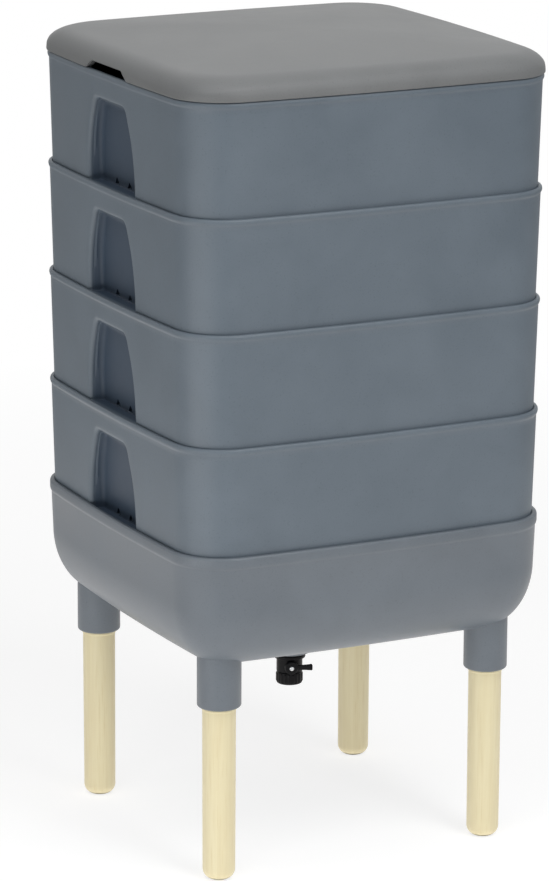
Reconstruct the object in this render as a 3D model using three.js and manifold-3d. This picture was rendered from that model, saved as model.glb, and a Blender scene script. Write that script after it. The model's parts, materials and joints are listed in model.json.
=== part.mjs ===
// Stacking wormery: four perforated working trays and a domed lid over a draining collector
// base, which stands on four round legs and empties through a small lever tap at its middle.
// Millimetres, +Z up. The origin is on the ground at the middle of the stack, the two sides
// with grips face -X and +X, and the tap's lever faces the front, -Y.

import * as THREE from 'three';
import { mergeVertices } from 'three/addons/utils/BufferGeometryUtils.js';
import Module from 'manifold-3d';

const wasm = await Module();
wasm.setup();

// The plan of the stack, taken where the wall of one tray meets the rim below it.
const planWidth = 375.2;
const planDepth = 364.2;
const planCornerRadius = 50;
const sharpestCorner = 8;
const sideBow = 3.3;

// Walls and clearances.
const trayWall = 2.6;
const baseWall = 3.2;
const lidWall = 3;
const nestClearance = 0.3;
const seatGap = 0.3;
const tinyChamfer = 0.6;
const overrun = 6;

// Trays: the rolled rim, the distance from rim to rim and the slots in the floor.
const trayCount = 4;
const trayPitch = 106;
const rimBeadHeight = 5.5;
const rimBeadProud = 1.1;
const rimEdgeRadius = 1.4;
const footRadius = 3;
const slotColumns = 4;
const slotRows = 6;
const slotLength = 52;
const slotWidth = 6;
const slotFieldWidth = 310;
const slotFieldDepth = 320;

// Grips: an arched pocket in each of two opposite sides of a tray, with a shelf at its foot
// and two pointed air vents through its back wall, just above the shelf.
const gripDrop = 25.9;
const gripFootWidth = 99.4;
const gripKneeWidth = 96;
const gripKneeRise = 33;
const gripHeadWidth = 77;
const gripHeadRadius = 16;
const gripDepth = 13.5;
const gripHeadDepth = 10.5;
const gripMouthRadius = 5;
const gripBackRadius = 5.5;
const gripSideSlant = 2;
const gripShelfDrop = 1.5;
const ventSpacing = 28;
const ventWidth = 10;
const ventHeight = 6;
const ventRise = 1.5;

// Collector base: a basin with a deep rounded foot, a floor that falls to a sump and four
// sockets for the legs.
const basinDepth = 115;
const baseRimBeadHeight = 11;
const baseRimBeadProud = 1.4;
const baseNest = 26.9;
const basinFootWidth = 52;
const basinFootHeight = 65;
const basinWallLean = 1.4;
const basinLedgeWidth = 9;
const basinLedgeHeight = 4;
const sumpFloorDrop = 43;
const sumpRadius = 22;
const sumpMouthRadius = 26;
const sumpLandWidth = 12;
const sumpLandDrop = 23;
const sumpEdgeRadius = 3;
const socketRadius = 20.8;
const socketDrop = 39.7;
const socketBoreDepth = 36;
const socketEdgeRadius = 2;

// Legs, with the place of each measured in from the sides of the plan.
const legInsetX = 46.7;
const legInsetY = 46.1;
const legRadius = 15.8;
const legFootDraft = 0.4;
const legReach = 169;
const legEndRadius = 10;
const legCollarProud = 1;
const legCollarHeight = 3;
const legPegChamfer = 2;
const legFitClearance = 0.3;

// Lid.
const lidOverhang = 0.9;
const lidSkirtHeight = 5;
const lidRollWidth = 26;
const lidRollHeight = 17;
const lidRollAngle = 80;
const lidCornerShare = 0.4;
const lidCrownRise = 10;
const lidLipDepth = 8;
const lidLipWall = 2.4;
const lidLipClearance = 0.4;
const notchFootWidth = 92;
const notchHeadWidth = 66;
const notchHeight = 8.5;
const notchCornerRadius = 4;

// Tap: a vertical valve body clamped through the sump floor, with a turning plug across it.
const tapTurn = -19;
const tapBoreRadius = 9.2;
const tapStemClearance = 0.3;
const tapFlangeRadius = 15.5;
const tapFlangeThickness = 3.2;
const tapGasketThickness = 2;
const tapGasketRadius = 14.8;
const tapBodyRadius = 12.6;
const tapBodyHeight = 14;
const tapPassageRadius = 4;
const tapStemRise = 12;
const tapCollarRadius = 13.1;
const tapCollarHeight = 11.5;
const tapCollarSkin = 0.8;
const tapCollarRibs = 20;
const tapSpigotRadius = 10.5;
const nutAcrossFlats = 27;
const nutHeight = 6;
const plugRadius = 5.4;
const plugClearance = 0.15;
const plugBackWall = 3;
const plugPortRadius = 2.6;
const plugSealInset = 3.2;
const plugGrooveWidth = 2.2;
const plugGrooveDepth = 1.8;
const plugSealClearance = 0.1;
const leverHubRadius = 6.4;
const leverHubThickness = 4.6;
const leverLength = 20.5;
const leverNeckShare = 0.6;
const leverNeckHeight = 4.6;
const leverTipHeight = 6.2;
const leverThickness = 3;
const leverGap = 0.4;
const screwHeadRadius = 2.2;
const screwHeadHeight = 1.6;
const screwShankRadius = 1.4;
const screwLength = 7;
const screwClearance = 0.1;
const screwSlotWidth = 0.8;
const screwSlotDepth = 0.7;

// Strainer over the sump.
const strainerRadius = 34;
const strainerWall = 1.6;
const strainerHeight = 11;
const strainerTopRadius = 22;
const strainerFootWidth = 3;
const strainerSlots = 10;
const strainerSlotWidth = 3;

// Facets of each kind of curve, and the rings of the lid's crown.
const cornerSteps = 5;
const sideSteps = 3;
const basinFootSteps = 5;
const gripArchSteps = 3;
const lidRollSteps = 5;
const lidCrownShares = [0.15, 0.4, 0.8];
const legFacets = 16;
const legEndSteps = 2;
const tapFacets = 16;
const smallFacets = 12;
const sealSteps = 5;
const nutSides = 6;

// Heights and offsets that follow from the sizes above.
const trayNest = gripDrop - trayWall - seatGap;
const trayHeight = trayNest + trayPitch;
const trayRimOffset = nestClearance + trayWall;
const trayLean = trayRimOffset / trayPitch;
const baseUnderside = legReach + socketDrop;
const baseRimTop = baseUnderside + basinDepth;
const lowestTrayFoot = baseRimTop - baseNest;
const socketFoot = baseUnderside - socketDrop + seatGap;
const sumpUnderside = baseUnderside - sumpFloorDrop;
const sumpFloor = sumpUnderside + baseWall;
const trayFoot = (level) => lowestTrayFoot + level * trayPitch;
const topRim = trayFoot(trayCount - 1) + trayHeight;
const lidSeat = topRim + seatGap;

const radians = THREE.MathUtils.degToRad;

// The radius of the plan's corners where the plan is moved outwards by an offset.
const planCorner = (offset) => Math.max(planCornerRadius - sideBow + offset, sharpestCorner);

// One ring of the stack's plan: a rounded rectangle with gently bowed sides, drawn
// counterclockwise and moved outwards by the offset.
function planRing(offset, z, cornerRadius = planCorner(offset)) {
  const halves = [planWidth / 2, planDepth / 2, planWidth / 2, planDepth / 2];
  const ring = [];
  for (let side = 0; side < 4; side += 1) {
    const out = halves[side] + offset - sideBow;
    const along = halves[(side + 1) % 4] + offset - sideBow - cornerRadius;
    const turn = new THREE.Vector2(0, 0);
    const quarter = (side * Math.PI) / 2;
    const place = (x, y) => {
      const point = new THREE.Vector2(x, y).rotateAround(turn, quarter);
      ring.push(new THREE.Vector3(point.x, point.y, z));
    };
    for (let step = 0; step < sideSteps; step += 1) {
      const share = (2 * step) / sideSteps - 1;
      place(out + sideBow * (1 - share * share), along * share);
    }
    for (let step = 0; step < cornerSteps; step += 1) {
      const angle = (step / cornerSteps) * (Math.PI / 2);
      const centre = out - cornerRadius;
      place(centre + cornerRadius * Math.cos(angle), along + cornerRadius * Math.sin(angle));
    }
  }
  return ring;
}

// A round ring with the same number of points as a plan ring, so that the two can be joined.
function roundRing(radius, z) {
  return planRing(0, z).map((point) => {
    const angle = Math.atan2(point.y / planDepth, point.x / planWidth);
    return new THREE.Vector3(radius * Math.cos(angle), radius * Math.sin(angle), z);
  });
}

// A closed body through rings that run counterclockwise about the way they are stacked.
function loft(rings) {
  const count = rings[0].length;
  const positions = [];
  const triangle = (a, b, c) => positions.push(a.x, a.y, a.z, b.x, b.y, b.z, c.x, c.y, c.z);
  const middle = (ring) => ring.reduce((sum, point) => sum.add(point), new THREE.Vector3())
    .divideScalar(ring.length);
  const first = rings[0];
  const last = rings[rings.length - 1];
  const firstMiddle = middle(first);
  const lastMiddle = middle(last);
  for (let index = 0; index < count; index += 1) {
    const next = (index + 1) % count;
    triangle(firstMiddle, first[next], first[index]);
    triangle(lastMiddle, last[index], last[next]);
    for (let level = 0; level + 1 < rings.length; level += 1) {
      const low = rings[level];
      const high = rings[level + 1];
      triangle(low[index], low[next], high[next]);
      triangle(low[index], high[next], high[index]);
    }
  }
  const geometry = new THREE.BufferGeometry();
  geometry.setAttribute('position', new THREE.Float32BufferAttribute(positions, 3));
  return geometry;
}

// Turns a closed geometry into a solid that can be joined and cut.
function solid(geometry) {
  const bare = geometry.clone();
  bare.deleteAttribute('normal');
  bare.deleteAttribute('uv');
  const merged = mergeVertices(bare);
  return new wasm.Manifold(new wasm.Mesh({
    numProp: 3,
    vertProperties: new Float32Array(merged.attributes.position.array),
    triVerts: new Uint32Array(merged.index.array),
  }));
}

// Turns a solid back into a geometry.
function shape(body) {
  const mesh = body.getMesh();
  const geometry = new THREE.BufferGeometry();
  geometry.setAttribute('position', new THREE.BufferAttribute(mesh.vertProperties, 3));
  geometry.setIndex(new THREE.BufferAttribute(mesh.triVerts, 1));
  return geometry;
}

function joined(bodies) {
  return bodies.reduce((whole, body) => whole.add(body));
}

// A lathe about Z from [radius, height] pairs. A profile off the axis closes on itself.
function turned(profile, facets) {
  const points = profile.map(([radius, height]) => new THREE.Vector2(radius, height));
  const startsOnAxis = points[0].x === 0;
  if (!startsOnAxis) {
    points.push(points[0].clone());
  }
  return new THREE.LatheGeometry(points, facets).rotateX(Math.PI / 2);
}

function cylinder(radius, low, high, facets) {
  const height = high - low;
  return new THREE.CylinderGeometry(radius, radius, height, facets)
    .rotateX(Math.PI / 2)
    .translate(0, 0, low + height / 2);
}

function plastic(color, roughness) {
  return new THREE.MeshStandardMaterial({ color, roughness, metalness: 0 });
}

function named(name, geometry, material) {
  const mesh = new THREE.Mesh(geometry, material);
  mesh.name = name;
  return mesh;
}

// How far the outside of a tray stands out of the plan at a height above its foot.
function trayOffset(height) {
  return (height - trayNest) * trayLean;
}

// The outside of a tray: a leaning wall with a rounded foot and a rolled rim.
function trayOutside() {
  const beadFoot = trayHeight - rimBeadHeight;
  const beadOffset = trayRimOffset + rimBeadProud;
  return loft([
    planRing(trayOffset(0) - footRadius, 0),
    planRing(trayOffset(footRadius), footRadius),
    planRing(trayOffset(beadFoot), beadFoot),
    planRing(beadOffset, beadFoot + rimBeadProud),
    planRing(beadOffset, trayHeight - rimEdgeRadius),
    planRing(beadOffset - rimEdgeRadius, trayHeight),
  ]);
}

// The room inside a tray, from its floor to above its rim.
function trayInside() {
  return loft([
    planRing(trayOffset(0) - footRadius - trayWall, trayWall),
    planRing(trayOffset(footRadius + trayWall) - trayWall, footRadius + trayWall),
    planRing(trayRimOffset - trayWall, trayHeight),
    planRing(trayRimOffset - trayWall, trayHeight + overrun),
  ]);
}

// One upright ring of a grip pocket, at a depth behind the outer face, which lessens towards
// the head of the arch. The inset narrows the arch, the growth widens it on every side, its
// shelf included, and the setback moves the ring in as a whole.
function gripRing(depth, inset, growth, setback = 0) {
  const low = trayNest - gripShelfDrop - growth;
  const high = trayHeight - gripDrop - inset + growth;
  const knee = trayNest - gripShelfDrop + gripKneeRise;
  const footHalf = gripFootWidth / 2 - inset + growth;
  const kneeHalf = gripKneeWidth / 2 - inset + growth;
  const headHalf = gripHeadWidth / 2 - inset + growth;
  const headRadius = Math.min(gripHeadRadius, (high - low) / 2, headHalf / 2);
  const cornerY = headHalf - headRadius;
  const cornerZ = high - headRadius;
  const outline = [[-kneeHalf, knee], [-footHalf, low], [footHalf, low], [kneeHalf, knee]];
  for (let step = 0; step <= gripArchSteps; step += 1) {
    const angle = (step / gripArchSteps) * (Math.PI / 2);
    outline.push([cornerY + headRadius * Math.cos(angle), cornerZ + headRadius * Math.sin(angle)]);
  }
  for (let step = 0; step <= gripArchSteps; step += 1) {
    const angle = (1 + step / gripArchSteps) * (Math.PI / 2);
    outline.push([-cornerY + headRadius * Math.cos(angle), cornerZ + headRadius * Math.sin(angle)]);
  }
  return outline.map(([y, z]) => {
    const rise = (z - low) / (high - low);
    const shallowing = (gripHeadDepth / gripDepth) ** rise;
    return new THREE.Vector3(depth * shallowing + setback - planWidth / 2 - trayOffset(z), y, z);
  });
}

// The pocket that is cut out of the side facing -X, with a rounded mouth and back corners.
function gripPocket() {
  const half = Math.SQRT1_2;
  const mouth = gripMouthRadius * (1 - half);
  const back = gripBackRadius * (1 - half);
  return loft([
    gripRing(-overrun, -gripMouthRadius, 0),
    gripRing(0, -gripMouthRadius, 0),
    gripRing(mouth, -mouth, 0),
    gripRing(gripMouthRadius, 0, 0),
    gripRing(gripDepth - gripBackRadius, gripSideSlant, 0),
    gripRing(gripDepth - back, gripSideSlant + back, 0),
    gripRing(gripDepth, gripSideSlant + gripBackRadius, 0),
  ]);
}

// The same pocket grown by the wall, which keeps the tray's inside away from it.
function gripHousing() {
  const back = gripBackRadius * (1 - Math.SQRT1_2);
  return loft([
    gripRing(-overrun, -gripMouthRadius / 2, trayWall),
    gripRing(gripMouthRadius, 0, trayWall),
    gripRing(gripDepth - gripBackRadius, gripSideSlant, trayWall),
    gripRing(gripDepth - back, gripSideSlant + back, trayWall, trayWall),
    gripRing(gripDepth, gripSideSlant + gripBackRadius, trayWall, trayWall),
  ]);
}

// An outline of [y, z] points drawn along +X from a starting place.
function alongX(points, start, length) {
  const outline = new THREE.Shape(points.map(([y, z]) => new THREE.Vector2(y, z)));
  return new THREE.ExtrudeGeometry(outline, { depth: length, bevelEnabled: false })
    .rotateX(Math.PI / 2)
    .rotateZ(Math.PI / 2)
    .translate(start, 0, 0);
}

// One pointed air vent through the back wall of the grip facing -X.
function gripVent(y) {
  const foot = trayNest - gripShelfDrop + ventRise;
  const outline = [
    [y - ventWidth / 2, foot],
    [y + ventWidth / 2, foot],
    [y, foot + ventHeight],
  ];
  return alongX(outline, gripDepth / 2 - planWidth / 2, gripDepth / 2 + trayWall + overrun);
}

// The slots that let worms climb and water drain, in rows across the floor.
function floorSlots() {
  const pitchX = slotFieldWidth / slotColumns;
  const pitchY = slotFieldDepth / slotRows;
  const height = trayWall + 2 * overrun;
  const slots = [];
  for (let column = 0; column < slotColumns; column += 1) {
    for (let row = 0; row < slotRows; row += 1) {
      const x = (column - (slotColumns - 1) / 2) * pitchX;
      const y = (row - (slotRows - 1) / 2) * pitchY;
      const slot = new THREE.BoxGeometry(slotLength, slotWidth, height);
      slots.push(solid(slot.translate(x, y, height / 2 - overrun)));
    }
  }
  return joined(slots);
}

// A tray, with its foot at height zero.
function tray() {
  const bothSides = (geometry) => {
    const left = solid(geometry);
    const right = solid(geometry.clone().rotateZ(Math.PI));
    return left.add(right);
  };
  const inside = solid(trayInside()).subtract(bothSides(gripHousing()));
  const vents = joined([-ventSpacing / 2, ventSpacing / 2].map((y) => bothSides(gripVent(y))));
  const shell = solid(trayOutside()).subtract(bothSides(gripPocket())).subtract(inside);
  return shape(shell.subtract(vents).subtract(floorSlots()));
}

// The four places of the legs, with the names of their corners.
const legX = planWidth / 2 - legInsetX;
const legY = planDepth / 2 - legInsetY;
const legPlaces = [
  ['front_left', -legX, -legY],
  ['front_right', legX, -legY],
  ['rear_left', -legX, legY],
  ['rear_right', legX, legY],
];

// The offset of the basin's outer wall at its rim and just above its rounded foot.
const basinRimOffset = trayOffset(baseNest) + nestClearance + baseWall;
const basinFootOffset = basinRimOffset - basinWallLean;

// Rings of the basin's rounded foot, from the flat underside up to the wall. The growth moves
// the surface inwards, which gives the inside of the same foot.
function basinFootRings(growth) {
  const rings = [];
  for (let step = 0; step <= basinFootSteps; step += 1) {
    const angle = (1 - step / basinFootSteps) * (Math.PI / 2);
    const inset = (basinFootWidth - growth) * (1 - Math.cos(angle)) + growth;
    const drop = (basinFootHeight - growth) * Math.sin(angle);
    rings.push(planRing(basinFootOffset - inset, baseUnderside + basinFootHeight - drop));
  }
  return rings;
}

function basinOutside() {
  const beadOffset = basinRimOffset + baseRimBeadProud;
  const beadFoot = baseRimTop - baseRimBeadHeight;
  const land = baseUnderside - sumpLandDrop;
  return loft([
    roundRing(sumpRadius - sumpEdgeRadius, sumpUnderside),
    roundRing(sumpRadius, sumpUnderside + sumpEdgeRadius),
    roundRing(sumpMouthRadius, land),
    roundRing(sumpMouthRadius + sumpLandWidth, land),
    ...basinFootRings(0),
    planRing(basinRimOffset, beadFoot),
    planRing(beadOffset, beadFoot + baseRimBeadProud),
    planRing(beadOffset, baseRimTop - rimEdgeRadius),
    planRing(beadOffset - rimEdgeRadius, baseRimTop),
  ]);
}

// The room inside the basin, with a ledge all round for the lowest tray's foot to rest on.
function basinInside() {
  const land = baseUnderside - sumpLandDrop + baseWall;
  const ledge = baseRimTop - baseNest - seatGap;
  const innerRim = basinRimOffset - baseWall;
  const ledgeOffset = innerRim - basinLedgeWidth;
  return loft([
    roundRing(sumpRadius - baseWall, sumpFloor),
    roundRing(sumpMouthRadius - baseWall, land),
    roundRing(sumpMouthRadius + sumpLandWidth - baseWall, land),
    ...basinFootRings(baseWall),
    planRing(innerRim, ledge - basinLedgeHeight - basinLedgeWidth),
    planRing(ledgeOffset, ledge - basinLedgeHeight),
    planRing(ledgeOffset, ledge),
    planRing(innerRim, ledge),
    planRing(innerRim, baseRimTop + overrun),
  ]);
}

// A leg socket, rounded at its lip. It runs up into the basin's rounded foot, whose inside trims it.
function socket() {
  const top = baseUnderside + basinFootHeight / 2;
  return turned([
    [0, socketFoot],
    [socketRadius - socketEdgeRadius, socketFoot],
    [socketRadius, socketFoot + socketEdgeRadius],
    [socketRadius, top],
    [0, top],
  ], tapFacets);
}

function base() {
  const placed = (geometry, x, y) => solid(geometry.clone().translate(x, y, 0));
  const sockets = joined(legPlaces.map(([, x, y]) => placed(socket(), x, y)));
  const boreRadius = legRadius + legFitClearance;
  const bore = cylinder(boreRadius, socketFoot - overrun, socketFoot + socketBoreDepth, legFacets);
  const bores = joined(legPlaces.map(([, x, y]) => placed(bore, x, y)));
  const drain = solid(cylinder(tapBoreRadius, sumpUnderside - overrun, sumpFloor + overrun, tapFacets));
  return shape(
    solid(basinOutside()).add(sockets).subtract(solid(basinInside())).subtract(bores).subtract(drain),
  );
}

// A leg: a rounded lower end, a plain shank, a low collar under the socket and a peg in it.
function leg() {
  const pegTop = socketFoot + socketBoreDepth - seatGap;
  const legFootRadius = legRadius - legFootDraft;
  const profile = [[0, 0]];
  for (let step = 0; step <= legEndSteps; step += 1) {
    const angle = (step / legEndSteps) * (Math.PI / 2);
    profile.push([
      legFootRadius - legEndRadius + legEndRadius * Math.sin(angle),
      legEndRadius - legEndRadius * Math.cos(angle),
    ]);
  }
  profile.push(
    [legRadius, legReach - legCollarHeight],
    [legRadius + legCollarProud, legReach - legCollarHeight + legCollarProud],
    [legRadius + legCollarProud, legReach],
    [legRadius, legReach],
    [legRadius, pegTop - legPegChamfer],
    [legRadius - legPegChamfer, pegTop],
    [0, pegTop],
  );
  return turned(profile, legFacets);
}

// The lid's roll: a ring of its outer face, or of its inner face one wall in, at an angle up
// from the skirt. The corners of the plan tighten by a share of what the ring moves in.
const lidSkirtOffset = trayRimOffset + rimBeadProud + lidOverhang;
const lidRollCentre = lidSkirtOffset - lidRollWidth;
const lidSkirtTop = lidSeat + lidSkirtHeight;

function lidRollRing(angle, wall) {
  const offset = lidRollCentre + (lidRollWidth - wall) * Math.cos(angle);
  const height = lidSkirtTop + (lidRollHeight - wall) * Math.sin(angle);
  const foot = lidSkirtOffset - wall;
  return planRing(offset, height, planCorner(foot) - lidCornerShare * (foot - offset));
}

// A ring of the crown, at a share of the way from the end of the roll to the middle.
function lidCrownRing(share, wall) {
  const left = 1 - share;
  return lidRollRing(radians(lidRollAngle), wall).map((point) => (
    new THREE.Vector3(point.x * left, point.y * left, point.z + lidCrownRise * (1 - left * left))
  ));
}

// The lid: a shallow skirt that rolls over into a slightly crowned top, one wall thick, and a
// separate lip inside the skirt that centres the lid in the mouth of the top tray.
function lidShell() {
  const inner = lidRollWidth - lidWall;
  const lipOutside = nestClearance - lidLipClearance;
  const lipInside = lipOutside - lidLipWall;
  const lipFoot = lidSeat - lidLipDepth;
  const skirtInside = lidSkirtOffset - lidWall;
  const angleAt = (offset) => Math.acos((offset - lidRollCentre) / inner);
  const roll = [];
  for (let step = 0; step <= lidRollSteps; step += 1) {
    roll.push(lidRollRing((step / lidRollSteps) * radians(lidRollAngle), 0));
  }
  return loft([
    ...[...lidCrownShares].reverse().map((share) => lidCrownRing(share, lidWall)),
    lidRollRing(radians(lidRollAngle), lidWall),
    lidRollRing(angleAt(lipInside), lidWall),
    planRing(lipInside, lipFoot),
    planRing(lipOutside - tinyChamfer, lipFoot),
    planRing(lipOutside, lipFoot + tinyChamfer),
    lidRollRing(angleAt(lipOutside), lidWall),
    planRing(skirtInside, lidSkirtTop),
    planRing(skirtInside, lidSeat),
    planRing(lidSkirtOffset - tinyChamfer, lidSeat),
    planRing(lidSkirtOffset, lidSeat + tinyChamfer),
    ...roll,
    ...lidCrownShares.map((share) => lidCrownRing(share, 0)),
  ]);
}

// The finger notch through the skirt and lip, drawn across both sides at once.
function lidNotch() {
  const footHalf = notchFootWidth / 2;
  const headHalf = notchHeadWidth / 2;
  const low = lidSeat - lidLipDepth - overrun;
  const top = lidSeat + notchHeight;
  const slope = (footHalf - headHalf) / notchHeight;
  const drop = notchCornerRadius / 2;
  const outline = [
    [-footHalf, lidSeat],
    [-footHalf, low],
    [footHalf, low],
    [footHalf, lidSeat],
    [headHalf + drop * slope, top - drop],
    [headHalf - notchCornerRadius, top],
    [notchCornerRadius - headHalf, top],
    [-headHalf - drop * slope, top - drop],
  ];
  const length = planWidth + 2 * (lidSkirtOffset + overrun);
  return alongX(outline, -length / 2, length);
}

function lid() {
  return shape(solid(lidShell()).subtract(solid(lidNotch())));
}

// Heights of the tap, from the sump floor down to the outlet.
const outerGasketTop = sumpUnderside - seatGap;
const outerGasketFoot = outerGasketTop - tapGasketThickness;
const tapFlangeTop = outerGasketFoot - seatGap;
const tapBodyTop = tapFlangeTop - tapFlangeThickness;
const tapBodyFoot = tapBodyTop - tapBodyHeight;
const tapOutlet = tapBodyFoot - tapCollarHeight - seatGap;
const plugAxisHeight = tapBodyFoot + tapBodyHeight / 2;
const innerGasketFoot = sumpFloor + seatGap;
const innerGasketTop = innerGasketFoot + tapGasketThickness;
const nutFoot = innerGasketTop + seatGap;
const stemRadius = tapBoreRadius - tapStemClearance;
const stemTop = sumpFloor + tapStemRise;
const plugBore = plugRadius + plugClearance;
const plugBack = plugBackWall - tapBodyRadius;

// Lays a piece turned about Z along the plug's axis, which faces the front of the tap.
function alongPlug(geometry) {
  return geometry.rotateX(Math.PI / 2).rotateZ(radians(tapTurn)).translate(0, 0, plugAxisHeight);
}

function tapBody() {
  const outside = solid(turned([
    [0, tapOutlet],
    [tapSpigotRadius, tapOutlet],
    [tapSpigotRadius, tapBodyFoot],
    [tapBodyRadius, tapBodyFoot],
    [tapBodyRadius, tapBodyTop],
    [tapFlangeRadius, tapBodyTop],
    [tapFlangeRadius, tapFlangeTop],
    [stemRadius, tapFlangeTop],
    [stemRadius, stemTop],
    [0, stemTop],
  ], tapFacets));
  const passage = solid(cylinder(tapPassageRadius, tapOutlet - overrun, stemTop + overrun, smallFacets));
  const plugHole = solid(alongPlug(cylinder(plugBore, plugBack, tapBodyRadius + overrun, tapFacets)));
  return shape(outside.subtract(passage).subtract(plugHole));
}

// The ribbed collar round the outlet.
function tapCollar() {
  const root = tapCollarRadius - tapCollarSkin;
  const outline = new THREE.Shape();
  for (let rib = 0; rib < tapCollarRibs; rib += 1) {
    const angle = ((2 * Math.PI) / tapCollarRibs) * rib;
    const quarter = (2 * Math.PI) / tapCollarRibs / 2;
    const draw = rib === 0 ? 'moveTo' : 'lineTo';
    outline[draw](tapCollarRadius * Math.cos(angle), tapCollarRadius * Math.sin(angle));
    outline.lineTo(root * Math.cos(angle + quarter), root * Math.sin(angle + quarter));
  }
  const hole = cylinder(tapSpigotRadius + seatGap, -overrun, tapCollarHeight + overrun, tapFacets);
  const ring = new THREE.ExtrudeGeometry(outline, { depth: tapCollarHeight, bevelEnabled: false });
  return shape(solid(ring).subtract(solid(hole)).translate([0, 0, tapOutlet]));
}

function gasket(low) {
  const high = low + tapGasketThickness;
  return turned([
    [tapBoreRadius, low],
    [tapGasketRadius, low],
    [tapGasketRadius, high],
    [tapBoreRadius, high],
  ], tapFacets);
}

function locknut() {
  const corner = nutAcrossFlats / 2 / Math.cos(Math.PI / nutSides);
  const blank = cylinder(corner, nutFoot, nutFoot + nutHeight, nutSides);
  const hole = cylinder(tapBoreRadius, nutFoot - overrun, nutFoot + nutHeight + overrun, tapFacets);
  return shape(solid(blank).subtract(solid(hole)));
}

// Places along the plug's axis, measured from the middle of the body.
const plugFront = tapBodyRadius + leverGap;
const hubFront = plugFront + leverHubThickness;
const sealPlaces = [plugSealInset + plugBack, tapBodyRadius - plugSealInset];

// The turning plug with its lever: two seal grooves, a port across it and the flared lever.
function tapLever() {
  const grooveRadius = plugRadius - plugGrooveDepth;
  const halfGroove = plugGrooveWidth / 2;
  const groove = (place) => [
    [plugRadius, place - halfGroove],
    [grooveRadius, place - halfGroove],
    [grooveRadius, place + halfGroove],
    [plugRadius, place + halfGroove],
  ];
  const spindle = solid(turned([
    [0, plugBack + seatGap],
    [plugRadius, plugBack + seatGap],
    ...groove(sealPlaces[0]),
    ...groove(sealPlaces[1]),
    [plugRadius, plugFront],
    [leverHubRadius, plugFront],
    [leverHubRadius, hubFront - tinyChamfer],
    [leverHubRadius - tinyChamfer, hubFront],
    [0, hubFront],
  ], tapFacets));
  const arm = new THREE.Shape([
    new THREE.Vector2(0, -leverNeckHeight / 2),
    new THREE.Vector2(leverLength * leverNeckShare, -leverNeckHeight / 2),
    new THREE.Vector2(leverLength - tinyChamfer, -leverTipHeight / 2),
    new THREE.Vector2(leverLength, 0),
    new THREE.Vector2(leverLength - tinyChamfer, leverTipHeight / 2),
    new THREE.Vector2(leverLength * leverNeckShare, leverNeckHeight / 2),
    new THREE.Vector2(0, leverNeckHeight / 2),
  ]);
  const paddle = solid(new THREE.ExtrudeGeometry(arm, { depth: leverThickness, bevelEnabled: false })
    .translate(0, 0, plugFront + (leverHubThickness - leverThickness) / 2));
  const portLength = 2 * (plugRadius + overrun);
  const port = solid(new THREE.CylinderGeometry(plugPortRadius, plugPortRadius, portLength, smallFacets)
    .rotateZ(Math.PI / 2));
  const screwHole = solid(cylinder(
    screwShankRadius + screwClearance,
    hubFront - screwLength - seatGap,
    hubFront + overrun,
    smallFacets,
  ));
  return alongPlug(shape(spindle.subtract(port).add(paddle).subtract(screwHole)));
}

function tapScrew() {
  const head = solid(turned([
    [0, hubFront - screwLength],
    [screwShankRadius, hubFront - screwLength],
    [screwShankRadius, hubFront + seatGap],
    [screwHeadRadius, hubFront + seatGap],
    [screwHeadRadius, hubFront + seatGap + screwHeadHeight / 2],
    [screwHeadRadius * Math.SQRT1_2, hubFront + seatGap + screwHeadHeight],
    [0, hubFront + seatGap + screwHeadHeight],
  ], smallFacets));
  const top = hubFront + seatGap + screwHeadHeight;
  const slotLength = 2 * screwHeadRadius + overrun;
  const slot = solid(new THREE.BoxGeometry(slotLength, screwSlotWidth, 2 * screwSlotDepth)
    .translate(0, 0, top));
  return alongPlug(shape(head.subtract(slot)));
}

// A seal ring in one of the plug's grooves.
function plugSeal(place) {
  const grooveFloor = plugRadius - plugGrooveDepth;
  const middle = (plugRadius + grooveFloor) / 2;
  const radius = (plugRadius - grooveFloor) / 2 - plugSealClearance;
  const profile = [];
  for (let step = 0; step < sealSteps; step += 1) {
    const angle = (step / sealSteps) * 2 * Math.PI;
    profile.push([middle + radius * Math.cos(angle), place + radius * Math.sin(angle)]);
  }
  return alongPlug(turned(profile, tapFacets));
}

// A slotted cap that stands on the flat land round the sump and keeps castings out of it.
function strainer() {
  const foot = baseUnderside - sumpLandDrop + baseWall + seatGap;
  const top = foot + strainerHeight;
  const shell = solid(turned([
    [0, top - strainerWall],
    [strainerTopRadius - strainerWall, top - strainerWall],
    [strainerRadius - strainerFootWidth, foot],
    [strainerRadius, foot],
    [strainerRadius, foot + strainerWall],
    [strainerTopRadius, top],
    [0, top],
  ], tapFacets));
  const slotLow = foot + 2 * strainerWall;
  const slotHigh = top - 2 * strainerWall;
  const slot = new THREE.BoxGeometry(strainerRadius, strainerSlotWidth, slotHigh - slotLow)
    .translate(strainerRadius, 0, (slotLow + slotHigh) / 2);
  const slots = [];
  for (let index = 0; index < strainerSlots; index += 1) {
    slots.push(solid(slot.clone().rotateZ((index / strainerSlots) * 2 * Math.PI)));
  }
  return shape(shell.subtract(joined(slots)));
}

const charcoal = '#6b737b';
const warmGrey = '#85878a';
const cream = '#e6d9b4';
const black = '#1b1c1f';
const rubber = '#141414';
const steel = '#b9bcc0';

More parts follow.
